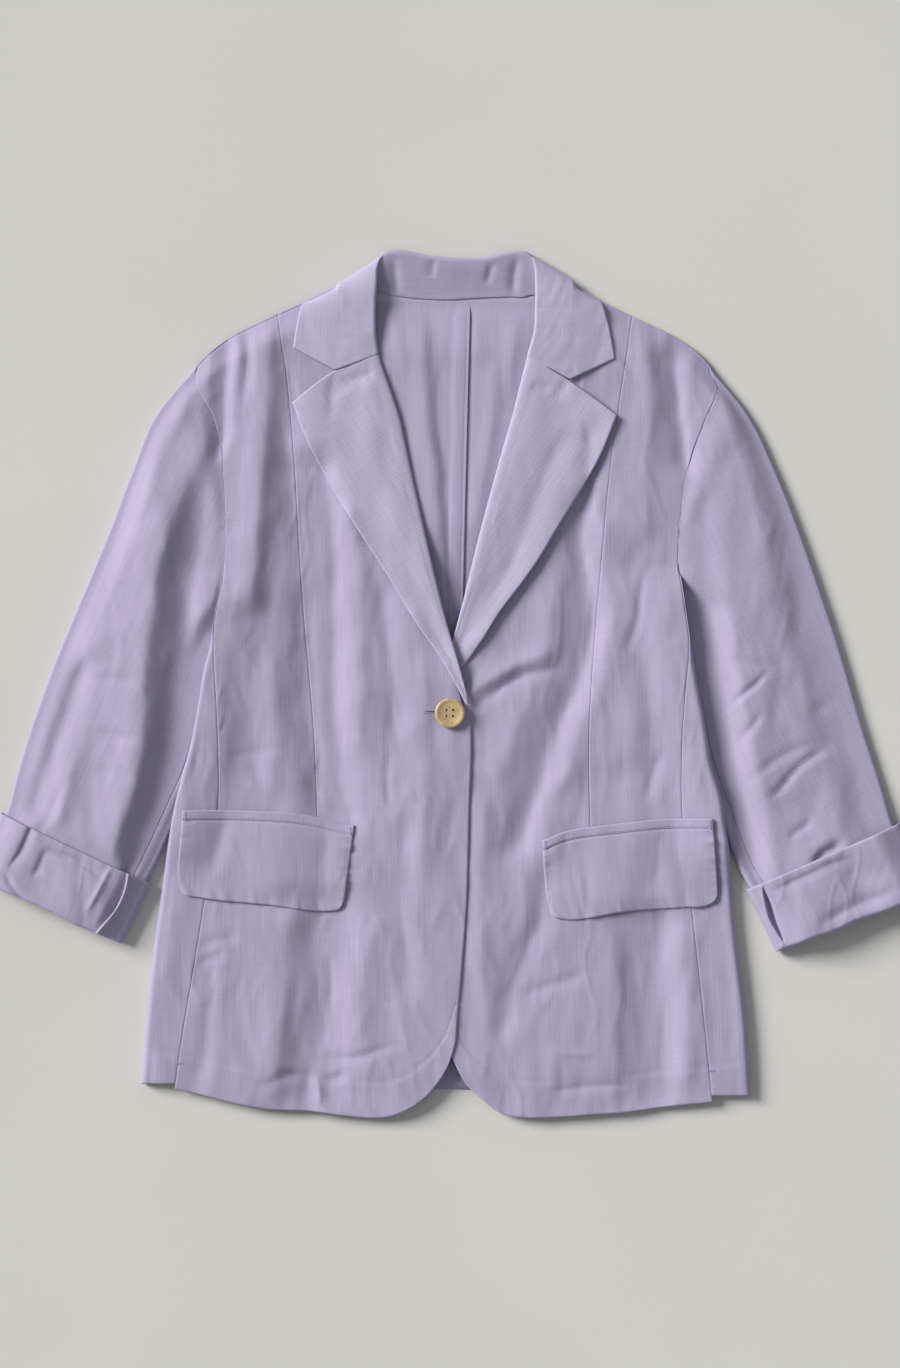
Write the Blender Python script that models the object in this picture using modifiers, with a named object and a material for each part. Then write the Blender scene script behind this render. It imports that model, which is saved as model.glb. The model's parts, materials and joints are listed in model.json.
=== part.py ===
"""A single breasted linen blazer lying flat on its back, front up and sleeves spread.

Sizes are in millimetres and become metres when a mesh is made. +X runs to the
wearer's left, +Y to the collar and +Z up from the surface that the blazer lies on.
Each piece of cloth is modelled as its outer surface and given its thickness inwards.
"""

import math

import bmesh
import bpy

MM = 0.001
CLOTH = 1.2             # one layer of cloth with its turnings
SEAM = 0.3              # gap between two pieces that are sewn together
ARMHOLE_GAP = 1.4       # the same at curved seams
ROLL_INSET = 2.6        # the front ends this far short of the roll line, inside the roll
BUTTON_GAP = 1.0        # air between the front and the button

FRONT_HEIGHT = 10.0     # outer surface of the front above the surface it lies on
HEM_HEIGHT = 7.8        # the same at the front hem
SHOULDER_HEIGHT = 4.8   # the same at the shoulder seam
OVERLAP = 2.2           # the right front lies this much higher where it laps
CROSSING_LIFT = 3.2     # and this much more over the foot of the left lapel
SIDE_LIFT = 5.0         # rise of the body's side where it lies on the sleeve
SIDE_UNDER = 8.6        # its underside there
BACK_LIFT = 2.0         # the back over the collar that is folded under it
BACK_HEM = -336.0
HEM_START = -316.0      # the fronts settle from here down to the hem

UNDERARM = 92.0         # level of the foot of the armhole
UNDER_TURN = 18.0       # how far the lifted side panel runs in before it comes down
UNDER_FOOT = 40.0       # where it meets the surface
UNDER_END = 52.0        # where it is sewn to the back

SLEEVE_EDGE = 6.6       # thickness of the tucked and folded edges of the sleeve
SLEEVE_RISE = 24.0      # run in which a sleeve rises from its edge
SLEEVE_HEAD = 2.5       # swell of the sleeve beyond the shoulder tip
SLEEVE_SEAM = 0.13      # inner sleeve seam, as a share of the width
CUFF_HEIGHT = 20.0
CUFF_EDGE = 12.0

WELT_DEPTH = 8.0
FLAP_LIFT = 2.4         # outer surface of a flap above the front
BUTTON_RADIUS = 12.5
BUTTON_THICK = 3.6
BUTTON_PLACE = (0.0, -24.0)
BUTTON_HOLE_RADIUS = 1.1
BUTTON_HOLE_PITCH = 5.0

# Front opening: the roll line of the lapel, then the front edge. Rows are (y, x).
OPENING = {
    "right": [(346, -57), (318, -59), (280, -61), (242, -49.5), (204, -40), (147, -26), (56, -4),
              (11, 9), (-19, 16), (-33, 17.6), (-111, 16), (-183, 14), (-237, 10), (-294, 5)],
    "left": [(346, 66), (290, 70), (242, 57), (195, 43), (123, 24), (54, 7), (30, 0),
             (0, -11), (-25, -17), (-183, -17), (-237, -13), (-294, -5)],
}
# Princess seam, shoulder to pocket. Rows are (y, x).
PRINCESS = {
    "right": [(305, -143), (252, -135), (183, -129), (111, -125), (54, -121), (-40, -113),
              (-110, -110)],
    "left": [(305, 151), (252, 143), (183, 133), (111, 126), (54, 121), (-40, 115), (-118, 116)],
}
# Armhole, then the seam between front and side panel. Rows are (y, x).
FRONT_OUTER = {
    "right": [(256, -212), (242, -208), (223, -197), (195, -190), (156, -187), (123, -186),
              (92, -184), (43, -190), (-16, -193), (-102, -192), (-178, -203), (-228, -211),
              (-300, -223), (-336, -228)],
    "left": [(244, 223), (221, 212), (190, 200), (156, 193), (116, 189), (92, 186), (54, 188),
             (-30, 193), (-109, 191), (-186, 200), (-239, 206), (-277, 210), (-345, 217)],
}
# Outermost line of the body below the armhole. Rows are (y, x).
BODY_EDGE = {
    "right": [(92, -193), (55, -198), (31, -201), (-30, -210), (-61, -219), (-92, -227),
              (-145, -235), (-216, -245), (-279, -252), (-334, -256)],
    "left": [(92, 197), (55, 199), (-4, 208), (-61, 215), (-92, 223), (-131, 230), (-201, 236),
             (-277, 245), (-340, 249)],
}
# Shoulder seam from the neck to the sleeve head. Rows are (x, y).
SHOULDER = {
    "right": [(-57, 346), (-75, 337), (-123, 307), (-150, 301), (-183, 284), (-212, 256)],
    "left": [(66, 346), (95, 328), (126, 305), (155, 300), (188, 284), (223, 244)],
}
# Pocket line, carried on level to the front edge. Rows are (x, y).
POCKET_LINE = {
    "right": [(-240, -104), (-159, -105), (-121, -108), (-79, -117), (20, -118)],
    "left": [(-20, -130), (76, -129), (95, -122), (143, -115), (179, -111.5), (240, -111.5)],
}
# Hem with its rounded front corner. Rows are (x, y).
HEM = {
    "right": [(-256, -331), (-216, -338), (-183, -346), (-153, -352), (-115, -354), (-89, -357.5),
              (-62, -359.6), (-47, -357.5), (-26, -347), (-13, -334), (-0.4, -313), (5, -294)],
    "left": [(-5, -294), (0.3, -306), (11, -328), (24, -342), (41, -355), (60, -359), (87, -359),
             (115, -357), (144, -355), (182, -350), (220, -346), (249, -341)],
}
# Neck seam and shoulder of the back. Rows are (x, y).
BACK_TOP = {
    "right": [(-212, 256), (-183, 284), (-150, 301), (-123, 306), (-75, 334), (-66, 334),
              (-58, 325.5), (-40, 321), (0, 318.4), (18, 319.6)],
    "left": [(0, 318.4), (18, 319.6), (48, 321), (67, 323), (74, 333), (84, 331), (105, 311), (126, 301),
             (155, 301), (188, 284), (223, 244)],
}
CENTRE_BACK = [(320, 17), (-336, 0.6)]      # rows are (y, x)

# Outer edge of the lapel against the roll line. Rows are (roll y, edge x, edge y, bow, roll share).
LAPEL = {
    "right": [(270, -130.5, 233, 4, 1), (250, -121, 207, 0, 1), (220, -109, 183, 0, 1),
              (180, -92, 152, 0, 1), (140, -74, 124, 0, 1), (100, -52, 90, 0, 1),
              (60, -31, 55, 0, 1), (25, -9, 23, 0, 0.9), (0, 6, -3, 0, 0.7),
              (-16, 13, -17, 0, 0.4)],
    "left": [(267, 138, 222, 3, 1), (240, 126, 192, 0, 1), (210, 112, 166, 0, 1),
             (175, 92, 134, 0, 1), (140, 74, 104, 0, 1), (105, 57, 80, 0, 1), (75, 41, 59, 0, 0.9),
             (50, 26, 35, 0, 0.55), (30, 12, 16, 0, 0.35), (18, 2, 10, 0, 0.3)],
}
# Section of a lapel from the roll to its edge. Rows are (mm beyond the roll line, share of the
# width, height above the front as a share of the roll).
LAPEL_SECTION = [(0.0, 0, -0.24), (2.6, 0, 0.0), (3.4, 0, 0.4), (2.0, 0, 0.8), (-2.0, 0, 1.0),
                 (0, 0.22, 0.96), (0, 0.5, 0.7), (0, 0.78, 0.5), (0, 1.0, 0.45)]
LAPEL_ROLL = 5.0
LAPEL_CLEAR = 2.0       # least height of a lapel's outer surface above the front

# Collar fall from the right tip round the neck to the left tip. Rows are (fold x, y, z,
# middle or turn x, y, z, outer edge x, y, z).
COLLAR_FALL = [
    (-63.5, 273, 15.4, -95, 259.5, 13.4, -129, 279, 12.6),
    (-60.5, 292, 15.4, -94, 288, 13.4, -127.5, 297, 12.4),
    (-58.5, 315, 14.6, -92, 314, 13.0, -123.5, 313, 10.0),
    (-58, 329, 13.4, -92, 328, 11.0, -119, 321, 5.4),
    (-57.6, 336, 12.8, -93, 334, 8.8, -116, 318.5, 1.2),
    (-57, 343, 12.0, -90, 340, 6.6, -106, 309, 0.0),
    (-54, 353, 10.6, -66, 352, 5.6, -88, 300, 0.0),
    (-44, 355, 10.0, -46, 359.8, 5.2, -52, 294, 0.0),
    (0, 350, 10.0, 0, 353.8, 5.2, 0, 292, 0.0),
    (54, 354, 10.0, 56, 358.4, 5.2, 60, 294, 0.0),
    (64, 353, 10.6, 76, 351, 5.6, 94, 300, 0.0),
    (67, 343, 12.0, 98, 337, 6.6, 111, 307, 0.0),
    (67.8, 336, 12.8, 101, 332.5, 8.8, 119, 318, 1.2),
    (68.5, 329, 13.4, 100, 327, 11.0, 122, 320, 5.4),
    (70, 312, 14.6, 101, 312, 13.0, 129, 311, 10.0),
    (70.5, 292, 15.4, 103, 284, 13.4, 134, 292, 12.4),
    (67, 270.5, 15.4, 99, 253, 13.4, 137, 268, 12.6),
]
STAND_FOLD = [(-56, 347.5), (-44, 351), (0, 346), (54, 350), (65, 349)]   # rows are (x, y)
STAND_HEIGHT = 10.0

# Sleeve from the armhole to the cuff. Rows are (inner x, inner y, outer x, outer y, share of the
# armhole's curve, height, underside).
SLEEVE = {
    "right": [(-188.5, 93, -213, 254, 1.0, 10, 0), (-189, 62, -243, 217, 0.7, 13, 0),
              (-190, 30, -262, 176, 0.45, 16, 0), (-196, -5, -281, 128, 0.2, 16, 0),
              (-204, -42, -300, 85, 0, 16, 0), (-213, -78, -320, 38, 0, 16, 0),
              (-225, -108, -340, -14, 0, 16, 0), (-241, -144, -357, -66, 0, 16, 0.4),
              (-253, -167, -368, -107, 0, 15, 2.2), (-266, -193, -382, -132, 0, 15, 2.2),
              (-276, -213, -395, -155, 0, 15, 2.2)],
    "left": [(193, 92, 225, 242, 1.0, 10, 0), (191, 62, 246, 222, 0.7, 13, 0),
             (192, 28, 266, 182, 0.45, 16, 0), (198, -8, 286, 134, 0.2, 16, 0),
             (205, -44, 305, 84, 0, 16, 0), (213, -80, 323, 30, 0, 16, 0),
             (223, -110, 340, -28, 0, 16, 0), (238, -150, 357, -82, 0, 16, 0.4),
             (250, -172, 367, -116, 0, 15, 2.2), (263, -198, 380, -144, 0, 15, 2.2),
             (274, -219, 393, -168, 0, 15, 2.2)],
}
# Turned-up cuff, top edge to folded bottom edge. Rows are (inner x, inner y, outer x, outer y).
CUFF = {
    "right": [(-248, -165, -373, -106), (-260, -190, -387, -131), (-272, -215, -400, -156)],
    "left": [(245, -170, 372, -115), (258, -197, 386, -143), (270, -222, 400, -171)],
}
# Largest folds. Rows are (x0, y0, x1, y1, half width, rise or fall).
FOLDS = [
    (-222, 150, -244, 0, 15, -3.0), (-244, 0, -266, -120, 15, -2.6), (-250, 150, -282, -60, 18, 1.6),
    (-300, 60, -336, -80, 14, -1.8), (222, 40, 240, -100, 15, -3.2), (236, 150, 262, -30, 18, 2.0),
    (292, 40, 318, -90, 15, -1.6), (-127, -215, -127, -345, 14, -2.0),
    (158, -215, 157, -345, 15, -1.8), (152, 100, 100, -40, 16, -1.4), (-170, 230, -176, 110, 14, -1.4),
    (172, 240, 168, 140, 13, -1.6), (-66, -210, -70, -300, 18, 0.8), (74, -210, 66, -300, 18, 0.8),
]
# Outline of the flaps. The sides are (y, x) rows and the bottom is (x, y) rows.
FLAP_SIDES = {
    "right": ([(-104, -221), (-131, -223), (-154, -225), (-176, -222)], [(-117, -79), (-186, -88)]),
    "left": ([(-129, 76), (-176, 80), (-195, 84)], [(-111, 217), (-147, 220), (-184, 222)]),
}
FLAP_BOTTOM = {
    "right": [(-225, -168), (-220, -174), (-207, -177), (-150, -183), (-97, -188), (-91, -186),
              (-88, -180)],
    "left": [(80, -184), (84, -191), (95, -195), (107, -195), (143, -189), (195, -185), (214, -183),
             (220, -178), (222, -172)],
}
# Shares of the way from the shoulder to the pocket at which the fronts have rows of points.
UPPER_LEVELS = [0, 0.03, 0.07, 0.12, 0.18, 0.26, 0.36, 0.48, 0.6, 0.7, 0.77, 0.84, 0.92, 1]
SIGN = {"right": -1, "left": 1}
LINEN = (0.46, 0.40, 0.62, 1.0)
HORN = (0.60, 0.42, 0.20, 1.0)


def smooth(t):
    """0 below 0, 1 above 1 and an even S between."""
    t = min(max(t, 0.0), 1.0)
    return t * t * (3 - 2 * t)


def lerp(a, b, t):
    return a + (b - a) * t


def read(table, value):
    """The second column of a table at a value of the first, on a smooth curve through the rows."""
    rows = sorted(table)
    if value <= rows[0][0]:
        return rows[0][1]
    if value >= rows[-1][0]:
        return rows[-1][1]
    i = max(k for k in range(len(rows) - 1) if rows[k][0] <= value)
    slopes = [(b[1] - a[1]) / (b[0] - a[0]) for a, b in zip(rows, rows[1:])]

    def tangent(k):
        if k == 0 or k == len(slopes):
            return slopes[min(k, len(slopes) - 1)]
        return (slopes[k - 1] + slopes[k]) / 2

    run = rows[i + 1][0] - rows[i][0]
    t = (value - rows[i][0]) / run
    bend_a = (tangent(i) - slopes[i]) * run
    bend_b = (slopes[i] - tangent(i + 1)) * run
    return lerp(rows[i][1], rows[i + 1][1], t) + t * (1 - t) * ((1 - t) * bend_a + t * bend_b)


def between_rows(rows, t):
    """A row of numbers at share t of the way down a table, smooth through its rows."""
    place = t * (len(rows) - 1)
    return [read([(k, row[c]) for k, row in enumerate(rows)], place) for c in range(len(rows[0]))]


def fold_relief(x, y):
    """How far the largest folds raise or lower the cloth at a point."""
    total = 0.0
    for x0, y0, x1, y1, width, rise in FOLDS:
        dx, dy = x1 - x0, y1 - y0
        length = math.hypot(dx, dy)
        along = ((x - x0) * dx + (y - y0) * dy) / length
        off = ((x - x0) * dy - (y - y0) * dx) / length
        ends = smooth(along / 40 + 0.5) * smooth((length - along) / 40 + 0.5)
        total += rise * ends * math.exp(-((off / width) ** 2))
    return total


def side_share(side, x, y):
    """1 where the body's side lies on the sleeve, falling to 0 towards the body's middle."""
    edge = abs(read(BODY_EDGE[side], y))
    return smooth((abs(x) - edge + 46) / 36) * smooth((102 - y) / 34) * smooth((y + 172) / 42)


def front_height(side, x, y):
    """Height of the front's outer surface."""
    height = lerp(SHOULDER_HEIGHT, FRONT_HEIGHT, smooth((read(SHOULDER[side], x) - y) / 24))
    height -= (FRONT_HEIGHT - HEM_HEIGHT) * smooth((HEM_START - y) / 34)
    height += SIDE_LIFT * side_share(side, x, y) + fold_relief(x, y)
    if side == "right":
        height += OVERLAP * smooth((x + 75) / 50)
        height += CROSSING_LIFT * math.exp(-((x - 2) ** 2 + (y - 12) ** 2) / 22 ** 2)
    return height


def back_height(x, y):
    """Height of the back's outer surface, which faces down."""
    return BACK_LIFT * smooth((y - 278) / 12) * (1 - smooth((abs(x) - 128) / 14))


def edges_between(left, right, top, bottom, across, down):
    """Rows of (x, y) points that fill the space between four edges, each given as a function."""
    grid = []
    for t in down:
        row = []
        for s in across:
            y = lerp(top(0), bottom(0), t)
            x = lerp(left(y), right(y), s)
            for _ in range(12):
                y = lerp(top(x), bottom(x), t)
                x = lerp(left(y), right(y), s)
            row.append((x, y))
        grid.append(row)
    return grid


def steps(count, start=0.0, end=1.0):
    return [lerp(start, end, k / count) for k in range(count + 1)]


def new_piece(name, mesh, colour, roughness):
    """Puts a mesh in the blazer's collection with a material of its own."""
    piece = bpy.data.objects.new(name, mesh)
    material = bpy.data.materials.new(name)
    material.use_nodes = True
    shader = material.node_tree.nodes["Principled BSDF"]
    shader.inputs["Base Color"].default_value = colour
    shader.inputs["Roughness"].default_value = roughness
    shader.inputs["Metallic"].default_value = 0.0
    mesh.materials.append(material)
    bpy.data.collections["single_breasted_blazer"].objects.link(piece)
    return piece


def cloth(name, rows, flip=False):
    """A piece of cloth from rows of outer points; a row may be longer than the one above it."""
    bm = bmesh.new()
    grid = [[bm.verts.new([c * MM for c in point]) for point in row] for row in rows]
    for upper, lower in zip(grid, grid[1:]):
        for k in range(min(len(upper), len(lower)) - 1):
            corners = [upper[k], lower[k], lower[k + 1], upper[k + 1]]
            bm.faces.new(corners[::-1] if flip else corners)
    bmesh.ops.delete(bm, geom=[v for v in bm.verts if not v.link_faces], context="VERTS")
    mesh = bpy.data.meshes.new(name)
    bm.to_mesh(mesh)
    bm.free()
    mesh.shade_smooth()
    piece = new_piece(name, mesh, LINEN, 0.85)
    wall = piece.modifiers.new("cloth", "SOLIDIFY")
    wall.thickness = CLOTH * MM
    wall.offset = -1
    return piece


def make_back(side):
    """Half of the back, flat on the surface, from the centre seam to the side panel."""
    sign = SIGN[side]

    def seam(y):
        return read(CENTRE_BACK, y) + sign * SEAM / 2

    def outer(y):
        armhole = read(FRONT_OUTER[side], y) - sign * ARMHOLE_GAP
        foot = read(BODY_EDGE[side], y) - sign * (UNDER_END + 2 * ARMHOLE_GAP)
        return armhole if y > UNDERARM + 2 else foot

    def share(y):
        top = read(BACK_TOP[side], outer(y))
        return (top - y) / (top - BACK_HEM)

    levels = [0, 0.04, 0.09, 0.15, 0.22, share(UNDERARM + 5), share(UNDERARM - 3), 0.42, 0.55,
              0.7, 0.85, 1]
    across = [0, 0.1, 0.25, 0.38, 0.55, 0.75, 1]
    grid = edges_between(seam, outer, lambda x: read(BACK_TOP[side], x) - SEAM,
                         lambda x: BACK_HEM, across, levels)
    rows = [[(x, y, back_height(x, y)) for x, y in row] for row in grid]
    cloth(f"back_{side}", rows, flip=side == "left")


def make_front(side):
    """The front, from the opening to the princess seam and, below the pocket, to the side seam."""
    sign = SIGN[side]

    def opening(y):
        return read(OPENING[side], y) + sign * ROLL_INSET * smooth((y + 34) / 12)

    def princess(y):
        return read(PRINCESS[side], y) - sign * SEAM / 2

    def outer(y):
        return read(FRONT_OUTER[side], y) - sign * SEAM / 2

    def shoulder(x):
        return read(SHOULDER[side], x)

    def pocket(x):
        return read(POCKET_LINE[side], x)

    def split(y):
        return read(PRINCESS[side], min(max(y, -118), -104)) - sign * SEAM / 2

    near = [0, 0.035, 0.09, 0.17, 0.29, 0.43, 0.6, 0.8, 1]
    upper = edges_between(opening, princess, shoulder, pocket, near, UPPER_LEVELS)
    lower = edges_between(opening, split, pocket, lambda x: read(HEM[side], x), near, steps(6))
    far = edges_between(split, outer, lambda x: pocket(x) - SEAM,
                        lambda x: read(HEM[side], x), steps(4), steps(6))
    grid = upper[:-1] + [a + b[1:] for a, b in zip(lower, far)]
    rows = [[(x, y, front_height(side, x, y)) for x, y in row] for row in grid]
    cloth(f"front_{side}", rows, flip=side == "right")


def make_front_side(side):
    """The upper side front, from the shoulder and armhole to the pocket line."""
    sign = SIGN[side]
    grid = edges_between(lambda y: read(PRINCESS[side], y) + sign * SEAM / 2,
                         lambda y: read(FRONT_OUTER[side], y) - sign * SEAM / 2,
                         lambda x: read(SHOULDER[side], x),
                         lambda x: read(POCKET_LINE[side], x) + SEAM / 2,
                         steps(5), UPPER_LEVELS)
    rows = [[(x, y, front_height(side, x, y)) for x, y in row] for row in grid]
    cloth(f"front_side_{side}", rows, flip=side == "right")


def side_section(side, y):
    """Outer points of a side panel at one level, from the front seam round to the back."""
    sign = SIGN[side]
    seam = read(FRONT_OUTER[side], y) + sign * ARMHOLE_GAP / 2
    edge = read(BODY_EDGE[side], y)
    under = SIDE_UNDER * smooth((y + 166) / 40)
    top = front_height(side, edge, y)
    radius = (top - under) / 2
    turn = edge - sign * radius
    points = []
    for share in (0, 0.35, 0.7):
        x = lerp(seam, turn, share)
        points.append((x, y, front_height(side, x, y)))
    for angle in steps(4, 0, math.pi):
        points.append((turn + sign * radius * math.sin(angle), y,
                       under + radius + radius * math.cos(angle)))
    points.append((edge - sign * UNDER_TURN, y, under))
    points.append((edge - sign * lerp(UNDER_TURN, UNDER_FOOT, 0.5), y, under * 0.5))
    points.append((edge - sign * UNDER_FOOT, y, 0.0))
    points.append((edge - sign * UNDER_END, y, 0.0))
    return points


def make_side_panel(side):
    """The panel under the arm, round the edge of the body from the front to the back."""
    hem = read(HEM[side], read(BODY_EDGE[side], -330))
    levels = [UNDERARM - 8, 58, 28, -8, -44, -80, -108, -126, -140, -154, -170, -205, -250, -300]
    rows = [side_section(side, y) for y in levels + [hem]]
    cloth(f"side_panel_{side}", rows, flip=side == "right")


def make_lapel(side):
    """The turned-back top of the front, from the roll line to its edge."""
    sign = SIGN[side]
    rows = []
    for t in steps(12):
        roll_y, edge_x, edge_y, bow, share = between_rows(LAPEL[side], t)
        roll_x = read(OPENING[side], roll_y)
        row = []
        for beyond, across, lift in LAPEL_SECTION:
            x = lerp(roll_x, edge_x, across) - sign * beyond * share
            y = lerp(roll_y, edge_y, across) + bow * math.sin(math.pi * across)
            rise = LAPEL_ROLL * share * lift
            if across:
                rise = max(rise, LAPEL_CLEAR)
            row.append((x, y, front_height(side, x, y) + rise))
        rows.append(row)
    cloth(f"lapel_{side}", rows, flip=side == "right")


def fall_section(row):
    """Outer points across the fall, from the fold by way of its middle or turn to its outer edge."""
    fold, turn, edge = row[0:3], row[3:6], row[6:9]
    under = smooth((6 - edge[2]) / 6)
    points = [[lerp(a, b, s) for a, b in zip(fold, turn)] for s in (0, 0.5, 0.85)]
    for s in (0, 0.08, 0.3, 0.65, 1):
        sunk = lerp(1 - s, max(0.0, 1 - s / 0.25) ** 1.5, under)
        points.append([lerp(turn[0], edge[0], s), lerp(turn[1], edge[1], s),
                       max(0.0, lerp(edge[2], turn[2], sunk))])
    return points


def make_collar():
    """The stand behind the neck, and the fall from tip to tip with its back folded under."""
    rows = [fall_section(between_rows(COLLAR_FALL, t)) for t in steps(20)]
    cloth("collar_fall", rows)

    def neck(x):
        return read(BACK_TOP["right"], x) if x < 18 else read(BACK_TOP["left"], x)

    grid = edges_between(lambda y: -56.5, lambda y: 65.5, lambda x: read(STAND_FOLD, x) - SEAM,
                         lambda x: neck(x) + SEAM, steps(12), steps(3))
    foot = BACK_LIFT + 2 * CLOTH + SEAM
    rows = [[(x, y, lerp(STAND_HEIGHT, foot, t)) for x, y in row]
            for row, t in zip(grid, steps(3))]
    cloth("collar_stand", rows)


def sleeve_point(side, row, across, top):
    """An outer point of a sleeve; across runs from the inner edge to the outer one."""
    sign = SIGN[side]
    inner_x, inner_y, outer_x, outer_y, curve, height, under = row
    first = SLEEVE[side][0]
    x = lerp(inner_x, outer_x, across)
    y = lerp(inner_y, outer_y, across)
    armhole_y = lerp(first[1], first[3], across)
    chord_x = lerp(first[0], first[2], across)
    x += curve * (read(FRONT_OUTER[side], armhole_y) + sign * ARMHOLE_GAP - chord_x)
    x += sign * curve * SLEEVE_HEAD * smooth((across - 0.88) / 0.12)
    width = math.hypot(outer_x - inner_x, outer_y - inner_y)
    beyond = abs(x) - abs(read(BODY_EDGE[side], y)) + 60 * smooth((y - UNDERARM) / 40)
    full = smooth(beyond / SLEEVE_RISE)
    full *= smooth((across * width + 4) / SLEEVE_RISE)
    full *= smooth(((1 - across) * width + 4) / SLEEVE_RISE)
    crown = lerp(height + fold_relief(x, y), front_height(side, x - sign * 2, y), curve ** 2)
    under = max(0.0, under)
    return (x, y, under + lerp(SLEEVE_EDGE, crown, full) if top else under)


def sleeve_edge(side, row, across):
    """The outer points that close a sleeve's section at one edge, from its top to its underside."""
    top = sleeve_point(side, row, across, True)
    low = sleeve_point(side, row, across, False)
    radius = (top[2] - low[2]) / 2
    run_x, run_y = row[2] - row[0], row[3] - row[1]
    inward = (1 if across < 0.5 else -1) / math.hypot(run_x, run_y)
    points = []
    for angle in steps(3, 0, math.pi):
        back = (1 - math.sin(angle)) * radius * inward
        points.append((top[0] + back * run_x, top[1] + back * run_y,
                       low[2] + radius + radius * math.cos(angle)))
    return points


def make_sleeve(side):
    """The top and under sleeve, which together are a flat tube from the armhole into the cuff."""
    top_rows = []
    under_rows = []
    for t in steps(11):
        row = between_rows(SLEEVE[side], t)
        gap = lerp(0.004, 0.045, row[4] ** 2)
        top = [sleeve_point(side, row, s, True)
               for s in (SLEEVE_SEAM + gap, 0.25, 0.37, 0.5, 0.63, 0.76, 0.86, 0.94)]
        top += sleeve_edge(side, row, 1.0)
        top += [sleeve_point(side, row, s, False) for s in (0.95, 0.88 + gap)]
        top_rows.append(top)
        under = [sleeve_point(side, row, SLEEVE_SEAM - gap, True)]
        under += sleeve_edge(side, row, 0.0)
        under += [sleeve_point(side, row, s, False) for s in steps(4, 0.06, 0.88 - gap)]
        under_rows.append(under)
    cloth(f"top_sleeve_{side}", top_rows, flip=side == "right")
    cloth(f"under_sleeve_{side}", under_rows, flip=side == "left")


def cuff_section(side, row):
    """Closed ring of outer points round a cuff."""
    sign = SIGN[side]
    inner_x, inner_y, outer_x, outer_y = row
    ring = []
    for across in steps(8, 0.06, 0.94):
        bulge = smooth(across / 0.17) * smooth((1 - across) / 0.17)
        x, y = lerp(inner_x, outer_x, across), lerp(inner_y, outer_y, across)
        ring.append((x, y, lerp(CUFF_EDGE, CUFF_HEIGHT, bulge)))
    for end, outward in (((outer_x, outer_y), sign), ((inner_x, inner_y), -sign)):
        arc = []
        for angle in steps(4, 0, math.pi):
            x = end[0] + (math.sin(angle) - 1) * CUFF_EDGE / 2 * outward
            arc.append((x, end[1], CUFF_EDGE / 2 + CUFF_EDGE / 2 * math.cos(angle)))
        ring += arc if outward == sign else arc[::-1]
        if outward == sign:
            ring += [(lerp(inner_x, outer_x, s), lerp(inner_y, outer_y, s), 0.0)
                     for s in (0.8, 0.5, 0.2)]
    return ring + ring[:1]


def make_cuff(side):
    rows = [cuff_section(side, between_rows(CUFF[side], t)) for t in steps(2)]
    piece = cloth(f"cuff_{side}", rows, flip=side == "right")
    bm = bmesh.new()
    bm.from_mesh(piece.data)
    bmesh.ops.remove_doubles(bm, verts=bm.verts, dist=0.00001)
    bm.to_mesh(piece.data)
    bm.free()


def make_pocket(side):
    """The welt along the pocket line and the flap that hangs from it."""
    left, right = FLAP_SIDES[side]
    line = POCKET_LINE[side]

    def lay(name, top, bottom, down):
        grid = edges_between(lambda y: read(left, y), lambda y: read(right, y), top, bottom,
                             [0, 0.04, 0.1, 0.3, 0.5, 0.7, 0.9, 0.96, 1], down)
        rows = [[(x, y, front_height(side, x, y) + FLAP_LIFT) for x, y in row] for row in grid]
        cloth(name, rows)

    lay(f"pocket_welt_{side}", lambda x: read(line, x), lambda x: read(line, x) - WELT_DEPTH,
        steps(1))
    lay(f"pocket_flap_{side}", lambda x: read(line, x) - WELT_DEPTH - SEAM,
        lambda x: read(FLAP_BOTTOM[side], x), steps(4))


def make_button():
    """A turned disc with a raised rim and four holes."""
    x, y = BUTTON_PLACE
    rim = [front_height("right", x + BUTTON_RADIUS * math.sin(a), y + BUTTON_RADIUS * math.cos(a))
           for a in steps(8, 0, 2 * math.pi)]
    z = max(rim) + BUTTON_GAP + BUTTON_THICK / 2
    bpy.ops.mesh.primitive_cylinder_add(vertices=32, radius=BUTTON_RADIUS * MM,
                                        depth=BUTTON_THICK * MM, location=(x * MM, y * MM, z * MM))
    disc = bpy.context.object
    mesh = disc.data
    cutters = bpy.data.collections["cutters"]
    button = new_piece("button", mesh.copy(), HORN, 0.35)
    button.location = disc.location
    bpy.data.objects.remove(disc)
    for dx in (-0.5, 0.5):
        for dy in (-0.5, 0.5):
            place = ((x + dx * BUTTON_HOLE_PITCH) * MM, (y + dy * BUTTON_HOLE_PITCH) * MM, z * MM)
            bpy.ops.mesh.primitive_cylinder_add(vertices=12, radius=BUTTON_HOLE_RADIUS * MM,
                                                depth=3 * BUTTON_THICK * MM, location=place)
            cutter = bpy.context.object
            cutter.name = f"button_hole_{len(cutters.objects) + 1}"
            cutter.hide_render = True
            cutter.display_type = "WIRE"
            for home in list(cutter.users_collection):
                home.objects.unlink(cutter)
            cutters.objects.link(cutter)
            cut = button.modifiers.new(cutter.name, "BOOLEAN")
            cut.object = cutter
            cut.operation = "DIFFERENCE"


for old in list(bpy.data.objects):
    bpy.data.objects.remove(old)
for group in ("single_breasted_blazer", "cutters"):
    bpy.context.scene.collection.children.link(bpy.data.collections.new(group))
for side in ("right", "left"):
    make_back(side)
    make_side_panel(side)
    make_front(side)
    make_front_side(side)
    make_lapel(side)
    make_sleeve(side)
    make_cuff(side)
    make_pocket(side)
make_collar()
make_button()
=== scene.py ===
"""A single breasted linen blazer laid flat on its back on a pale table.

Sizes are in millimetres and become metres when a mesh is made. +X runs to the wearer's
left, +Y to the collar and +Z up from the table. Right and left are the wearer's.
"""

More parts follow.
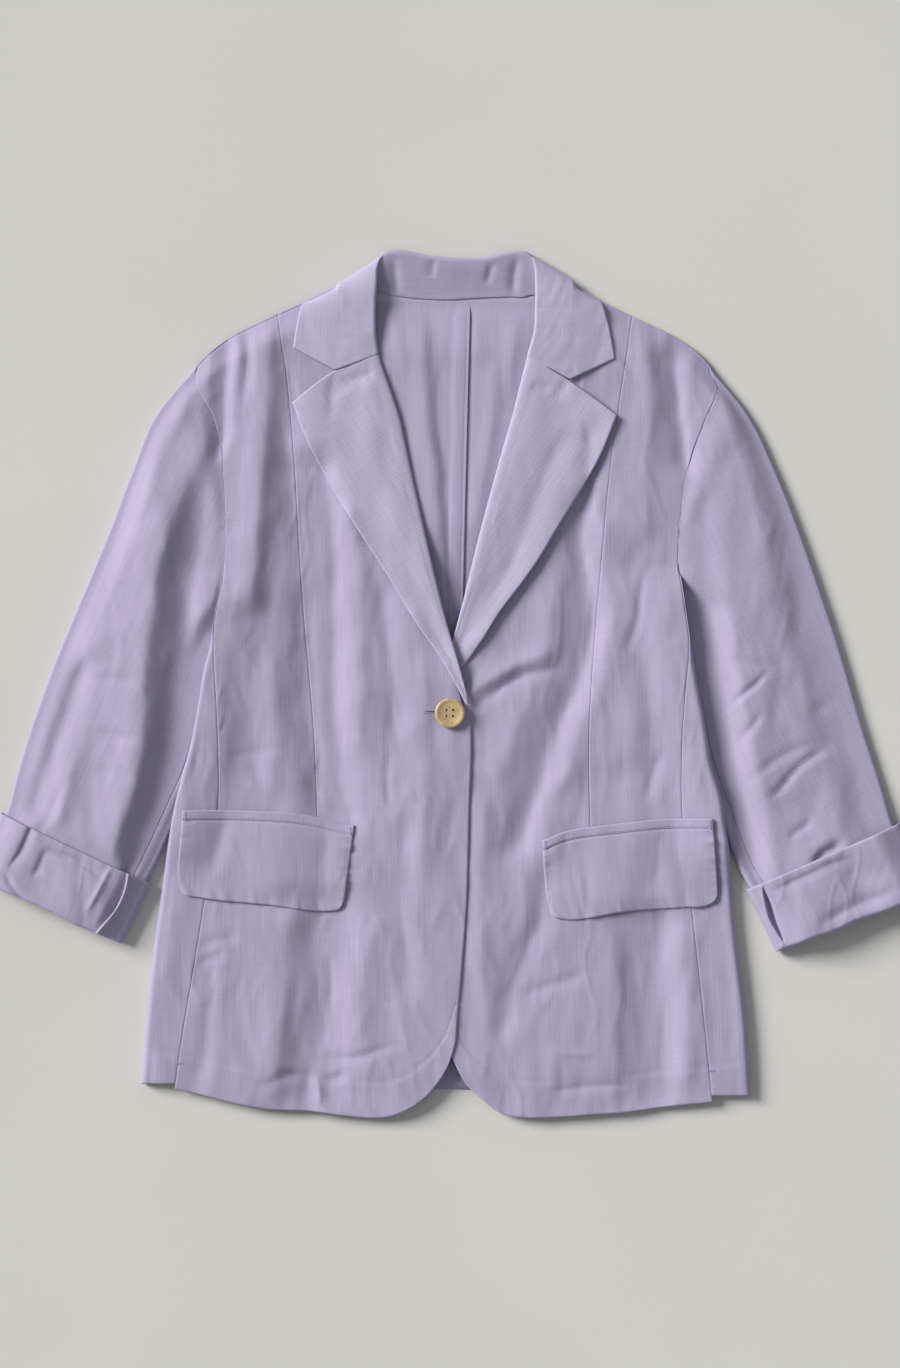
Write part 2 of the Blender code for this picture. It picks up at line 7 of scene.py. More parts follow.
import json
import math

import bpy
import mathutils
import numpy as np
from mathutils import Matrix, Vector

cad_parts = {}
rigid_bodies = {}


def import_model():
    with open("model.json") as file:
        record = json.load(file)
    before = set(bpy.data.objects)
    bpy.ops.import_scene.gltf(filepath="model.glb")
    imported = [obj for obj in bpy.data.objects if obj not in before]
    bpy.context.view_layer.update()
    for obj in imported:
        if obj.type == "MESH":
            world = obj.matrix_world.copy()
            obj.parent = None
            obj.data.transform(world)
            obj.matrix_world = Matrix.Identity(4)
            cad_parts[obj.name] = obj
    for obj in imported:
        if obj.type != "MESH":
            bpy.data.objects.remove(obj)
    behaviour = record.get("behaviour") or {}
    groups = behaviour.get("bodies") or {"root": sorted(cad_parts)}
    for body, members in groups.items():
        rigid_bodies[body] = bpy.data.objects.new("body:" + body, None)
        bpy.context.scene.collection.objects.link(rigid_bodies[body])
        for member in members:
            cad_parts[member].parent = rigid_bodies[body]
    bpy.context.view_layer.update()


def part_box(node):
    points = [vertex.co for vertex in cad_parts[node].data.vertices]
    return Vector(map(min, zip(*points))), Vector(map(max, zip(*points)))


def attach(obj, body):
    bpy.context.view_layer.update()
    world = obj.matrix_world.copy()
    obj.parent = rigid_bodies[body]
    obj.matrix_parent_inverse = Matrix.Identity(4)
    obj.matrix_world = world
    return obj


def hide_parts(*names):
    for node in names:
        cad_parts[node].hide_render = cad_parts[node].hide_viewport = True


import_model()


# ---- Back -----------------------------------------------------------------------------------
# The back is two halves of washed plain-weave linen, sewn down the centre. It lies under the
# rest, and only its wrong side shows, in the neck opening, where the turnings of the centre
# seam are pressed to the wearer's right and stitched down.

MM = 0.001
SIDES = {"right": -1, "left": 1}
CLOTH = 1.2             # one layer of linen with its turnings
SEAM = 0.12             # gap between two pieces that are sewn together
ARMHOLE_GAP = 0.2       # the same at curved seams
LINEN_COLOUR = (0.386, 0.341, 0.492, 1.0)
YARN_PITCH = 0.00065    # metres from yarn to yarn
GRAIN_SHIFT = 37.0      # each piece is cut from a place this far along the cloth
HILLS = 96              # random hills repeat after this many of them
# Distances from a sewn or turned edge at which the cloth always has a row of points.
EDGE_ROWS = (0.0, 0.35, 0.8, 1.4, 2.0, 2.6, 3.2, 4.2)


def smooth(t):
    """0 below 0, 1 above 1 and an even S between."""
    t = np.clip(t, 0.0, 1.0)
    return t * t * (3 - 2 * t)


def lerp(a, b, t):
    """A mix of a and b: a where t is 0 and b where it is 1."""
    return a + (b - a) * t


def read(table, value):
    """The second column of a table at values of the first, on a smooth curve through the rows."""
    first, second = np.array(sorted(table), dtype=float).T
    value = np.clip(value, first[0], first[-1])
    k = np.clip(np.searchsorted(first, value, side="right") - 1, 0, len(first) - 2)
    run = np.diff(first)
    slope = np.diff(second) / run
    tangent = np.concatenate([slope[:1], (slope[1:] + slope[:-1]) / 2, slope[-1:]])
    t = (value - first[k]) / run[k]
    bend = (1 - t) * (tangent[k] - slope[k]) + t * (slope[k] - tangent[k + 1])
    return lerp(second[k], second[k + 1], t) + t * (1 - t) * bend * run[k]


def line(table, shift=0.0):
    """A table as a function of its first column, moved by the shift."""
    return lambda value: read(table, value) + shift


def noise(x, y, size, seed):
    """Smooth random hills about size across, between -1 and 1."""
    heights = np.random.default_rng(seed).uniform(-1, 1, (HILLS + 1, HILLS + 1))
    u, v = (0.8 * x - 0.6 * y) / size + 500.3, (0.6 * x + 0.8 * y) / size + 500.7
    i, j = np.floor(u).astype(int), np.floor(v).astype(int)
    s, t = smooth(u - i), smooth(v - j)
    i, j = i % HILLS, j % HILLS
    low = lerp(heights[i, j], heights[i + 1, j], s)
    return lerp(low, lerp(heights[i, j + 1], heights[i + 1, j + 1], s), t)


def crumple(x, y, seed):
    """The small soft creases of linen that has been worn or washed, mostly along the warp."""
    wx = x + 5 * noise(x, y, 31, seed + 1)
    wy = (y + 8 * noise(x, y, 37, seed + 2)) * 0.36
    patch = smooth(0.5 + 1.2 * noise(x, y, 52, seed + 5))
    ridge = np.exp(-(noise(wx, wy, 15, seed + 4) / 0.2) ** 2)
    swell = 0.85 * noise(wx, wy, 19, seed + 3)
    return swell + 0.3 * patch * ridge + 0.22 * noise(wx, wy, 7, seed + 6)


def fold_relief(x, y, down=(), across=()):
    """Height of listed folds. A row is the fold's path, its half width on the side of the
    smaller coordinate and on the other, and its rise. Paths are (y, x) down and (x, y) across."""
    x = x + 2.2 * noise(x, y, 26, 71)
    y = y + 2.2 * noise(x, y, 29, 72)
    total = np.zeros(np.broadcast(x, y).shape)
    for along, off, folds in ((y, x, down), (x, y, across)):
        for path, before, after, rise in folds:
            start, end = min(path)[0], max(path)[0]
            fade = min(26.0, 0.45 * (end - start))
            ends = smooth((along - start) / fade + 0.4) * smooth((end - along) / fade + 0.4)
            away = off - read(path, along)
            width = np.where(away < 0, before, after)
            total = total + rise * ends * np.exp(-np.abs(away / width) ** 1.8)
    return total


def spaced(length, pitch, edges=(True, True)):
    """Shares of a length about a pitch apart, closer together near the chosen ends."""
    near = [d for d in EDGE_ROWS if d < 0.4 * length]
    first = near if edges[0] else [0.0]
    last = [length - d for d in reversed(near)] if edges[1] else [float(length)]
    count = max(2, int((last[0] - first[-1]) / pitch))
    middle = np.linspace(first[-1], last[0], count + 1)
    return np.concatenate([first[:-1], middle, last[1:]]) / length


def between_edges(left, right, top, bottom, across, down):
    """Grids of x and y that fill the space between four edges, each given as a function."""
    s, t = np.meshgrid(across, down)
    x = np.zeros_like(s)
    for _ in range(24):
        y = lerp(top(x), bottom(x), t)
        x = (x + lerp(left(y), right(y), s)) / 2
    return x, y


def seam_dip(distance, depth=0.28, width=0.6):
    """The groove in which a sewn edge or a row of stitches lies."""
    return depth * np.exp(-(distance / width) ** 2)


def node(tree, kind, links=(), **settings):
    """A shader node with its settings, and its inputs linked or set."""
    made = tree.nodes.new(kind)
    for name, value in settings.items():
        setattr(made, name, value)
    for socket, value in dict(links).items():
        if isinstance(value, bpy.types.NodeSocket):
            tree.links.new(value, made.inputs[socket])
        else:
            made.inputs[socket].default_value = value
    return made


def new_finish(name):
    """A material with its node tree and its Principled shader."""
    material = bpy.data.materials.new(name)
    material.use_nodes = True
    return material, material.node_tree, material.node_tree.nodes["Principled BSDF"]


def math_node(tree, operation, a, b=0.0, c=0.0):
    """One step of a shader's arithmetic."""
    return node(tree, "ShaderNodeMath", {0: a, 1: b, 2: c}, operation=operation).outputs[0]


def slubby_weave():
    """Plain weave of uneven flax yarn. Its map runs along the weft and the warp, in metres."""
    group = bpy.data.node_groups.new("slubby_weave", "ShaderNodeTree")
    group.interface.new_socket("Colour", in_out="INPUT", socket_type="NodeSocketColor")
    for name in ("Yarn Pitch", "Slub", "Mottle"):
        group.interface.new_socket(name, in_out="INPUT", socket_type="NodeSocketFloat")
    group.interface.new_socket("Colour", in_out="OUTPUT", socket_type="NodeSocketColor")
    group.interface.new_socket("Roughness", in_out="OUTPUT", socket_type="NodeSocketFloat")
    group.interface.new_socket("Height", in_out="OUTPUT", socket_type="NodeSocketFloat")
    given = group.nodes.new("NodeGroupInput")
    grain = node(group, "ShaderNodeUVMap", uv_map="grain").outputs["UV"]
    parts = node(group, "ShaderNodeSeparateXYZ", {0: grain})

    def streaks(across, along, detail):
        scaled = node(group, "ShaderNodeVectorMath", {0: grain, 1: (1 / across, 1 / along, 1)},
                      operation="MULTIPLY").outputs[0]
        return node(group, "ShaderNodeTexNoise", {"Vector": scaled, "Scale": 1.0, "Detail": detail,
                                                  "Roughness": 0.6}).outputs["Fac"]

    def yarn(run):
        turns = math_node(group, "DIVIDE", run, given.outputs["Yarn Pitch"])
        return math_node(group, "SINE", math_node(group, "MULTIPLY", turns, math.pi))

    warp = streaks(0.0011, 0.034, 2.0)
    weft = streaks(0.026, 0.0010, 2.0)
    broad = streaks(0.0042, 0.06, 1.0)
    mottle = streaks(0.045, 0.06, 2.0)
    bump = math_node(group, "MULTIPLY", yarn(parts.outputs[0]), yarn(parts.outputs[1]))
    slub = math_node(group, "ADD", math_node(group, "ADD", warp, weft),
                     math_node(group, "MULTIPLY", broad, 0.7))
    slub = math_node(group, "SUBTRACT", slub, 1.35)
    shade = math_node(group, "MULTIPLY_ADD", slub, given.outputs["Slub"], 1.0)
    shade = math_node(group, "ADD", shade, math_node(
        group, "MULTIPLY", math_node(group, "SUBTRACT", mottle, 0.5), given.outputs["Mottle"]))
    colour = node(group, "ShaderNodeVectorMath", {0: given.outputs["Colour"], 1: shade},
                  operation="MULTIPLY").outputs[0]
    rough = math_node(group, "MULTIPLY_ADD", slub, -0.12, 0.86)
    height = math_node(group, "MULTIPLY_ADD", slub, 0.7, math_node(group, "MULTIPLY", bump, 0.35))
    result = group.nodes.new("NodeGroupOutput")
    group.links.new(colour, result.inputs["Colour"])
    group.links.new(rough, result.inputs["Roughness"])
    group.links.new(height, result.inputs["Height"])
    return group


def linen(name, colour=LINEN_COLOUR, slub=0.17, relief=0.0005):
    """Lilac linen. Its nap gives a faint pale sheen at grazing angles."""
    material, tree, shader = new_finish(name)
    weave = node(tree, "ShaderNodeGroup", node_tree=bpy.data.node_groups["slubby_weave"])
    weave.inputs["Colour"].default_value = colour
    weave.inputs["Yarn Pitch"].default_value = YARN_PITCH
    weave.inputs["Slub"].default_value = slub
    weave.inputs["Mottle"].default_value = 0.10
    raised = node(tree, "ShaderNodeBump", {"Height": weave.outputs["Height"], "Strength": 0.5,
                                           "Distance": relief})
    tree.links.new(weave.outputs["Colour"], shader.inputs["Base Color"])
    tree.links.new(weave.outputs["Roughness"], shader.inputs["Roughness"])
    tree.links.new(raised.outputs["Normal"], shader.inputs["Normal"])
    shader.inputs["Specular IOR Level"].default_value = 0.25
    shader.inputs["Sheen Weight"].default_value = 0.22
    shader.inputs["Sheen Roughness"].default_value = 0.45
    shader.inputs["Sheen Tint"].default_value = (0.97, 0.96, 1.0, 1.0)
    return material


def rows_of(x, y, z):
    """A grid as a list of rows of points."""
    x, y, z = np.broadcast_arrays(x, y, z)
    return list(np.stack([x, y, z], axis=-1))


def flat_grain(rows, turn, shift):
    """Weft and warp places of each point, for a piece whose warp is turned from the Y axis."""
    c, s = math.cos(math.radians(turn)), math.sin(math.radians(turn))
    return [np.stack([c * r[:, 0] + s * r[:, 1] + shift, c * r[:, 1] - s * r[:, 0]], axis=-1)
            for r in rows]


def add_mesh(name, points, faces, material):
    """An object from points in millimetres, with smooth shading."""
    mesh = bpy.data.meshes.new(name)
    mesh.from_pydata((np.array(points) * MM).tolist(), [], faces)
    mesh.materials.append(material)
    mesh.shade_smooth()
    piece = bpy.data.objects.new(name, mesh)
    bpy.context.scene.collection.objects.link(piece)
    return piece


def lay_cloth(name, solid, rows, flip=False, turn=0.0, wall=CLOTH, finish=None):
    """A piece of cloth from rows of points on its outer face, with its thickness inwards."""
    grain = np.concatenate(flat_grain(rows, turn, GRAIN_SHIFT * len(bpy.data.meshes)))
    points = np.concatenate(rows)
    faces = []
    start = 0
    for upper, lower in zip(rows, rows[1:]):
        k = np.arange(min(len(upper), len(lower)) - 1)
        a, b = start + k, start + len(upper) + k
        corners = np.stack([a, b, b + 1, a + 1], axis=-1)
        faces.append(corners[:, ::-1] if flip else corners)
        start += len(upper)
    faces = np.concatenate(faces)
    piece = add_mesh(name, points, faces.tolist(), finish or LINEN)
    layer = piece.data.uv_layers.new(name="grain")
    layer.data.foreach_set("uv", (grain[faces.ravel()] * MM).ravel())
    thick = piece.modifiers.new("cloth", "SOLIDIFY")
    thick.thickness = wall * MM
    thick.offset = -1
    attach(piece, "root")
    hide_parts(solid)
    return piece


slubby_weave()
LINEN = linen("lilac_linen")

CENTRE_BACK = [(320, 17), (-336, 0.6)]      # rows are (y, x)
BACK_HEM = -336.0
UNDER_END = 52.0                            # the side panels meet the back this far in
UNDERARM = 92.0                             # level of the foot of the armhole
# Neck seam and shoulder of the back. Rows are (x, y).
BACK_TOP = {
    "right": [(-212, 256), (-183, 284), (-150, 301), (-123, 306), (-75, 334), (-66, 334),
              (-58, 325.5), (-40, 321), (0, 318.4), (18, 319.6)],
    "left": [(0, 318.4), (18, 319.6), (48, 321), (67, 323), (74, 333), (84, 331), (105, 311),
             (126, 301), (155, 301), (188, 284), (223, 244)],
}
# Armhole, then the seam between front and side panel. Rows are (y, x).
FRONT_OUTER = {
    "right": [(266, -211), (256, -211), (242, -208), (223, -197), (195, -190), (156, -187),
              (123, -186), (100, -186.5), (84, -188), (63, -192.5), (46, -195), (23, -195.2),
              (-11, -193.5), (-40, -192), (-102, -192), (-178, -203), (-228, -211), (-300, -223),
              (-336, -228)],
    "left": [(258, 217), (244, 221), (221, 212), (190, 200), (156, 193), (116, 189), (100, 188.5),
             (82, 191), (54, 195), (36, 197.3), (-11, 194), (-40, 192), (-66, 191.3), (-109, 192),
             (-186, 200), (-239, 206), (-277, 210), (-345, 217)],
}
# Outermost line of the body below the armhole. Rows are (y, x).
BODY_EDGE = {
    "right": [(123, -186.3), (100, -186.9), (84, -188.6), (63, -193.1), (46, -195.9), (31, -198.6),
              (10, -204), (-18, -208.5), (-47, -214), (-81, -223), (-104, -228.5), (-145, -235),
              (-216, -245), (-279, -252), (-334, -256)],
    "left": [(123, 189.2), (100, 189), (82, 191.6), (54, 195.7), (36, 198.6), (6, 203.6),
             (-40, 212), (-67, 216), (-93, 224), (-120, 228), (-131, 230), (-201, 236), (-277, 245),
             (-340, 249)],
}
# Front opening: the roll line of the lapel, then the front edge. Rows are (y, x).
OPENING = {
    "right": [(346, -59), (318, -61), (300, -61.7), (285, -60.4), (269, -57.9), (247, -50.4),
              (219, -41.3), (204, -38), (147, -25.5), (56, -4), (11, 9), (-19, 16), (-33, 17.6),
              (-111, 16), (-183, 14), (-237, 10), (-294, 5)],
    "left": [(346, 69.5), (320, 70.1), (300, 69.4), (281, 65.9), (250, 58.3), (219, 50.5),
             (195, 43.5), (123, 24), (54, 7), (30, 0), (0, -11), (-25, -17), (-183, -17),
             (-237, -13), (-294, -5)],
}
BACK_FOLDS = [
    ([(296, -26), (240, -21), (150, -12), (60, -4)], 15, 6, 2.2),
    ([(262, -9), (200, -7), (100, -2)], 5, 5, -1.2),
    ([(262, 36), (200, 31), (130, 22)], 9, 7, 1.7),
    ([(300, 54), (236, 47)], 7, 6, 1.3),
    ([(306, -44), (250, -41)], 7, 6, 0.8),
]
TURNING = 12.5          # width of the turnings at the centre back
STITCH_ROWS = (2.4, TURNING - 2.2)      # distances of their stitching from the seam
BACK_RISE = 7.4         # the back stands this high in the neck opening
COLLAR_BELOW = 1.4      # and this high over the collar that is folded under it


def back_face(side, x, y):
    """Height of the back's outer face, which is turned to the table."""
    under_collar = COLLAR_BELOW * smooth((y - 240) / 70) * (1 - smooth((np.abs(x) - 128) / 14))
    shown = smooth((92 - np.abs(x)) / 16) * smooth((y - 20) / 30) * smooth((314 - y) / 10)
    relief = np.maximum(fold_relief(x, y, BACK_FOLDS) + 0.45 * crumple(x, y, 11) + 0.5, 0)
    seam = np.abs(x - read(CENTRE_BACK, y))
    if side == "right":
        relief = lerp(relief, 0.3 * relief, smooth((TURNING + 4 - seam) / 6))
        relief += 1.3 * smooth((TURNING - seam) / 1.2)
        for inset in STITCH_ROWS:
            relief -= seam_dip(seam - inset, 0.3, 0.7)
    else:
        relief *= smooth((seam + 1) / 8)
    raised = smooth((x - read(OPENING["right"], y) + 14) / 14)
    raised = raised * smooth((read(OPENING["left"], y) + 14 - x) / 14)
    raised = raised * smooth((y - 74) / 66) * smooth((320 - y) / 50)
    return under_collar + shown * relief + BACK_RISE * raised


for side, sign in SIDES.items():
    def back_outer(y):
        armhole = read(FRONT_OUTER[side], y) - sign * ARMHOLE_GAP
        foot = read(BODY_EDGE[side], y) - sign * (UNDER_END + 2 * ARMHOLE_GAP)
        return lerp(foot, armhole, smooth((y - UNDERARM + 10) / 24))

    # The half that shows has its points closer together.
    across = np.concatenate([spaced(110, 2.4, (True, False)) * 0.5, np.linspace(0.53, 1, 18)])
    down = np.concatenate([np.linspace(0, 0.45, 110), np.linspace(0.47, 1, 34)])
    x, y = between_edges(line(CENTRE_BACK, sign * SEAM / 2), back_outer,
                         line(BACK_TOP[side], -SEAM), lambda x: BACK_HEM + 0 * x, across, down)
    lay_cloth(f"{side}_back", f"back_{side}", rows_of(x, y, back_face(side, x, y)),
              flip=side == "left")


# ---- Fronts ---------------------------------------------------------------------------------
# Each front is cut in one from the shoulder to the hem, with the lapel's turn-back and, below
# the pocket, the whole width to the side seam. The right front laps over the left. Edges are
# turned and pressed, and a princess seam runs from the shoulder into the pocket.

FRONT_HEIGHT = 10.0     # outer surface of the front above the table
HEM_HEIGHT = 8.6        # the same at the front hem
SHOULDER_HEIGHT = 4.8   # the same at the shoulder seam
OVERLAP = 2.2           # the right front lies this much higher where it laps
CROSSING_LIFT = 3.2     # and this much more over the foot of the left lapel
SIDE_LIFT = {"right": 5.0, "left": 6.6}         # rise of the body's side over the sleeve
HEM_START = -316.0      # the fronts settle from here down to the hem
ROLL_INSET = 5.0        # the front ends this far short of the roll line, inside the roll
HEM_DEPTH = 30.0
FRONT_CRUMPLE = 1.35    # depth of the small creases
LEAST_HEIGHT = 3.2      # a fold of the front sinks no lower, over a soft run of SOFT_FLOOR
SOFT_FLOOR = 1.4
# Princess seam, shoulder to pocket. Rows are (y, x).
PRINCESS = {
    "right": [(305, -143), (252, -135), (183, -129), (111, -125), (54, -121), (-40, -113),
              (-110, -110)],
    "left": [(305, 151), (252, 143), (183, 133), (111, 126), (54, 121), (-40, 115), (-118, 116)],
}
# Shoulder seam from the neck to the sleeve head. Rows are (x, y).
SHOULDER = {
    "right": [(-57, 346), (-90, 332.2), (-121, 317.5), (-154, 302.5), (-186, 286), (-206, 269),
              (-212, 262)],
    "left": [(66, 346), (100, 333.4), (125, 318), (156, 302.5), (190, 285.5), (211, 269),
             (220, 257)],
}
# Pocket line, carried on level to the front edge. Rows are (x, y).
POCKET_LINE = {
    "right": [(-240, -104), (-159, -105), (-121, -108), (-79, -117), (20, -118)],
    "left": [(-20, -130), (76, -129), (95, -122), (143, -115), (179, -111.5), (240, -111.5)],
}
# Hem with its rounded front corner. Rows are (x, y).
HEM = {
    "right": [(-256, -331), (-216, -338), (-183, -346), (-153, -352), (-115, -354), (-89, -357.5),
              (-62, -359.6), (-47, -357.5), (-26, -347), (-13, -334), (-0.4, -313), (5, -294)],
    "left": [(-5, -294), (0.3, -306), (11, -328), (24, -342), (41, -355), (60, -359), (87, -359),
             (115, -357), (144, -355), (182, -350), (220, -346), (249, -341)],
}
FRONT_FOLDS = {
    "right": [
        ([(285, -197), (236, -200)], 6, 5, 1.4),
        ([(286, -184), (250, -184), (215, -188), (186, -190)], 8, 4.5, -4.4),
        ([(292, -176), (262, -175)], 4, 4, 1.0),
        ([(294, -168), (262, -168), (236, -170)], 5, 3.5, -2.6),
        ([(298, -151), (230, -152), (180, -155), (120, -161), (60, -166)], 20, 10, 4.4),
        ([(276, -137), (180, -131), (110, -126), (40, -122)], 11, 10, -2.2),
        ([(190, -108), (145, -102), (50, -97), (-26, -95), (-80, -90), (-120, -84)], 31, 11, -6.2),
        ([(150, -86), (107, -76), (69, -73), (12, -73), (-60, -76)], 12, 9, 2.4),
        ([(80, -54), (12, -50), (-40, -47)], 7, 8, -2.2),
        ([(60, -28), (0, -22), (-80, -20), (-160, -24)], 12, 8, 1.4),
        ([(-20, -160), (-80, -158)], 9, 7, -1.4),
        ([(76, -117), (0, -113), (-60, -110), (-104, -107)], 15, 5, -2.6),
        ([(30, -146), (-50, -144), (-100, -148)], 8, 10, 1.6),
        ([(-55, -52), (-100, -50)], 2.5, 2.5, -1.0),
        ([(-110, -38), (-180, -42), (-260, -34)], 10, 8, -2.0),
        ([(-170, -96), (-230, -99), (-290, -101), (-352, -106)], 34, 20, -5.2),
        ([(-185, -133), (-245, -137), (-300, -142), (-352, -149)], 20, 11, 3.6),
        ([(-195, -66), (-260, -74), (-330, -70)], 16, 12, 2.2),
        ([(-230, -196), (-330, -206)], 9, 7, -2.0),
        ([(-224, -99), (-268, -100)], 2.6, 2.0, -1.3),
        ([(-325, -110), (-348, -109)], 3.5, 3.5, 2.2),
    ],
    "left": [
        ([(282, 188), (240, 189), (205, 192), (176, 194)], 13, 6, -4.8),
        ([(285, 164), (230, 163), (180, 160), (120, 160)], 16, 9, 2.4),
        ([(215, 118), (150, 110)], 8, 8, -2.2),
        ([(158, 108), (120, 108), (80, 115), (50, 116), (10, 108), (-25, 95), (-65, 80),
          (-110, 66), (-145, 56)], 17, 9, -4.6),
        ([(70, 84), (20, 78), (-20, 62), (-80, 40)], 12, 10, 1.8),
        ([(140, 128), (80, 132), (20, 128), (-30, 112), (-90, 90)], 9, 14, 2.2),
        ([(92, 161), (46, 153), (26, 149)], 4, 3, -1.6),
        ([(60, 176), (-20, 170), (-100, 172)], 8, 10, 0.8),
        ([(92, 150), (28, 149), (-70, 147)], 26, 18, 2.6),
        ([(-58, 172), (-95, 165)], 4, 4, -1.4),
        ([(-90, 26), (-180, 24), (-260, 26)], 8, 9, 1.6),
        ([(-150, 80), (-193, 75), (-218, 62), (-247, 52), (-295, 42)], 11, 10, -2.8),
        ([(-185, 174), (-250, 172), (-300, 176), (-350, 178)], 34, 16, -6.2),
        ([(-200, 137), (-260, 136), (-350, 138)], 18, 8, 1.6),
        ([(-200, 192), (-330, 196)], 10, 10, 1.6),
        ([(-300, 88), (-345, 84)], 7, 7, 1.2),
    ],
}
FRONT_CREASES = {
    "right": [
        ([(-153, -330), (-130, -322), (-104, -328), (-86, -320)], 5, 3, -2.0),
        ([(-104, -307), (-77, -308), (-50, -301)], 4.5, 2.5, -1.7),
        ([(-206, -231), (-186, -224)], 4, 4, -1.2),
        ([(-206, -216), (-176, -210)], 4, 5, -1.1),
        ([(-180, -62), (-140, -56)], 4, 5, -0.8),
    ],
    "left": [
        ([(16, -10), (40, 8), (85, 26)], 6, 10, 2.8),
        ([(24, -16), (54, 3), (90, 13)], 6, 4, -2.2),
        ([(84, -335), (105, -332), (148, -329)], 4, 2.5, -1.9),
        ([(90, -306), (115, -306)], 2.2, 2.2, 1.0),
        ([(-8, -104), (12, -100)], 4, 5, -1.0),
        ([(60, -256), (110, -240)], 6, 5, -1.3),
    ],
}


def run_of(x, y, axis):
    """Running length along one direction of a grid, and its total."""
    step = np.hypot(np.diff(x, axis=axis), np.diff(y, axis=axis))
    pad = [(0, 0), (0, 0)]
    pad[axis] = (1, 0)
    run = np.pad(np.cumsum(step, axis=axis), pad)
    return run, np.take(run, [-1], axis=axis)


def turned_edge(distance, radius):
    """How far the cloth falls away at an edge that is turned under and pressed."""
    short = np.clip(radius - distance, 0, radius)
    return radius - np.sqrt(radius ** 2 - short ** 2)


def pucker(distance, along, seed, height=0.32, pitch=4.2, reach=5.5):
    """Small ripples where stitching draws up an edge."""
    wave = noise(along, along * 0.31, pitch, seed)
    wave = wave * (0.6 + 0.4 * noise(along, along * 0, 23, seed + 1))
    return height * wave * np.exp(-(distance / reach) ** 2)


def front_height(side, x, y):
    """Height of the front's outer surface, with its folds but without small creases."""
    height = lerp(SHOULDER_HEIGHT, FRONT_HEIGHT, smooth((read(SHOULDER[side], x) - y) / 24))
    height = height - (FRONT_HEIGHT - HEM_HEIGHT) * smooth((HEM_START - y) / 34)
    edge = np.abs(read(BODY_EDGE[side], y))
    at_side = smooth((np.abs(x) - edge + 46) / 36) * smooth((102 - y) / 34) * smooth((y + 172) / 42)
    height = height + SIDE_LIFT[side] * at_side
    height = height + fold_relief(x, y, FRONT_FOLDS[side], FRONT_CREASES[side])
    if side == "right":
        height = height + OVERLAP * smooth((x + 75) / 50) * smooth((170 - y) / 90)
        height = height + CROSSING_LIFT * np.exp(-((x - 2) ** 2 + (y - 12) ** 2) / 22 ** 2)
    over = height - LEAST_HEIGHT
    return LEAST_HEIGHT + (over + np.hypot(over, SOFT_FLOOR)) / 2


def front_surface(side, x, y):
    """The same with the small creases of the linen and the faint line of the hem."""
    inner = smooth((x - 4) / 14) if side == "left" else smooth((26 - x) / 20)
    foot = read(HEM[side], x)
    hem = 0.35 * np.exp(-((y - foot - HEM_DEPTH) / 1.6) ** 2)
    hem = hem - 0.25 * smooth((foot + HEM_DEPTH - y) / 2)
    small = FRONT_CRUMPLE * inner * crumple(x, y, 23)
    return front_height(side, x, y) + small - hem * smooth((-240 - y) / 20)


def front_rows(side, x, y, sewn, turned):
    """Rows of a panel of the front. The edges named in sewn lie in a seam, and the ones in
    turned are pressed under; names are inner, outer, top and bottom."""
    z = front_surface(side, x, y)
    across, width = run_of(x, y, 1)
    down, length = run_of(x, y, 0)
    edges = {"inner": (across, down), "outer": (width - across, down),
             "top": (down, across), "bottom": (length - down, across)}
    for seed, (edge, (distance, along)) in enumerate(edges.items()):
        if edge in sewn:
            z = z - seam_dip(distance) + pucker(distance, along, 40 + seed, 0.22)
        if edge in turned:
            z = z - turned_edge(distance, 1.7) + pucker(distance, along, 50 + seed, 0.18)
    shoulder_seam = seam_dip(down - 2.6, 0.5, 0.55) * smooth((np.abs(x) - 118) / 12)
    return z - (shoulder_seam if "top" in turned else 0)


for side, sign in SIDES.items():
    def opening(y):
        return read(OPENING[side], y) + sign * ROLL_INSET * smooth((y + 34) / 12)

    def split(y):
        """The princess seam as far as the pocket, then straight on as a mere column of points."""
        return princess(np.clip(y, -118, -104))

    princess = line(PRINCESS[side], -sign * SEAM / 2)
    outer = line(FRONT_OUTER[side], -sign * SEAM / 2)
    shoulder, pocket, hem = line(SHOULDER[side]), line(POCKET_LINE[side]), line(HEM[side])
    near = spaced(130, 2.3)
    down = spaced(430, 2.5, (True, False))
    x, y = between_edges(opening, princess, shoulder, pocket, near, down)
    z = front_rows(side, x, y, ["outer"], ["inner", "top"])
    upper = rows_of(x, y, z)
    down = spaced(235, 2.5, (False, True))
    x, y = between_edges(opening, split, pocket, hem, near, down)
    far_x, far_y = between_edges(split, outer, line(POCKET_LINE[side], -SEAM), hem,
                                 spaced(105, 2.4, (False, True)), down)
    x, y = np.hstack([x, far_x[:, 1:]]), np.hstack([y, far_y[:, 1:]])
    lower = rows_of(x, y, front_rows(side, x, y, ["outer"], ["inner", "bottom"]))
    lay_cloth(f"{side}_front", f"front_{side}", upper[:-1] + lower,
              flip=side == "right")


# ---- Side fronts and side panels ------------------------------------------------------------
# The side front fills the space between the princess seam and the armhole, down to the pocket.
# The side panel turns round the edge of the body, over the sleeve that is tucked under it, and
# is sewn to the back underneath.

SIDE_UNDER = 8.6        # underside of the body where it lies on the sleeve
UNDER_TURN = 18.0       # how far the lifted side panel runs in before it comes down
UNDER_FOOT = 40.0       # where it meets the table
WELT_LAP = 2.4          # the side front runs this far under the welt
SIDE_TUCK = 2.0         # the side panel's top end sinks this far under the sleeve

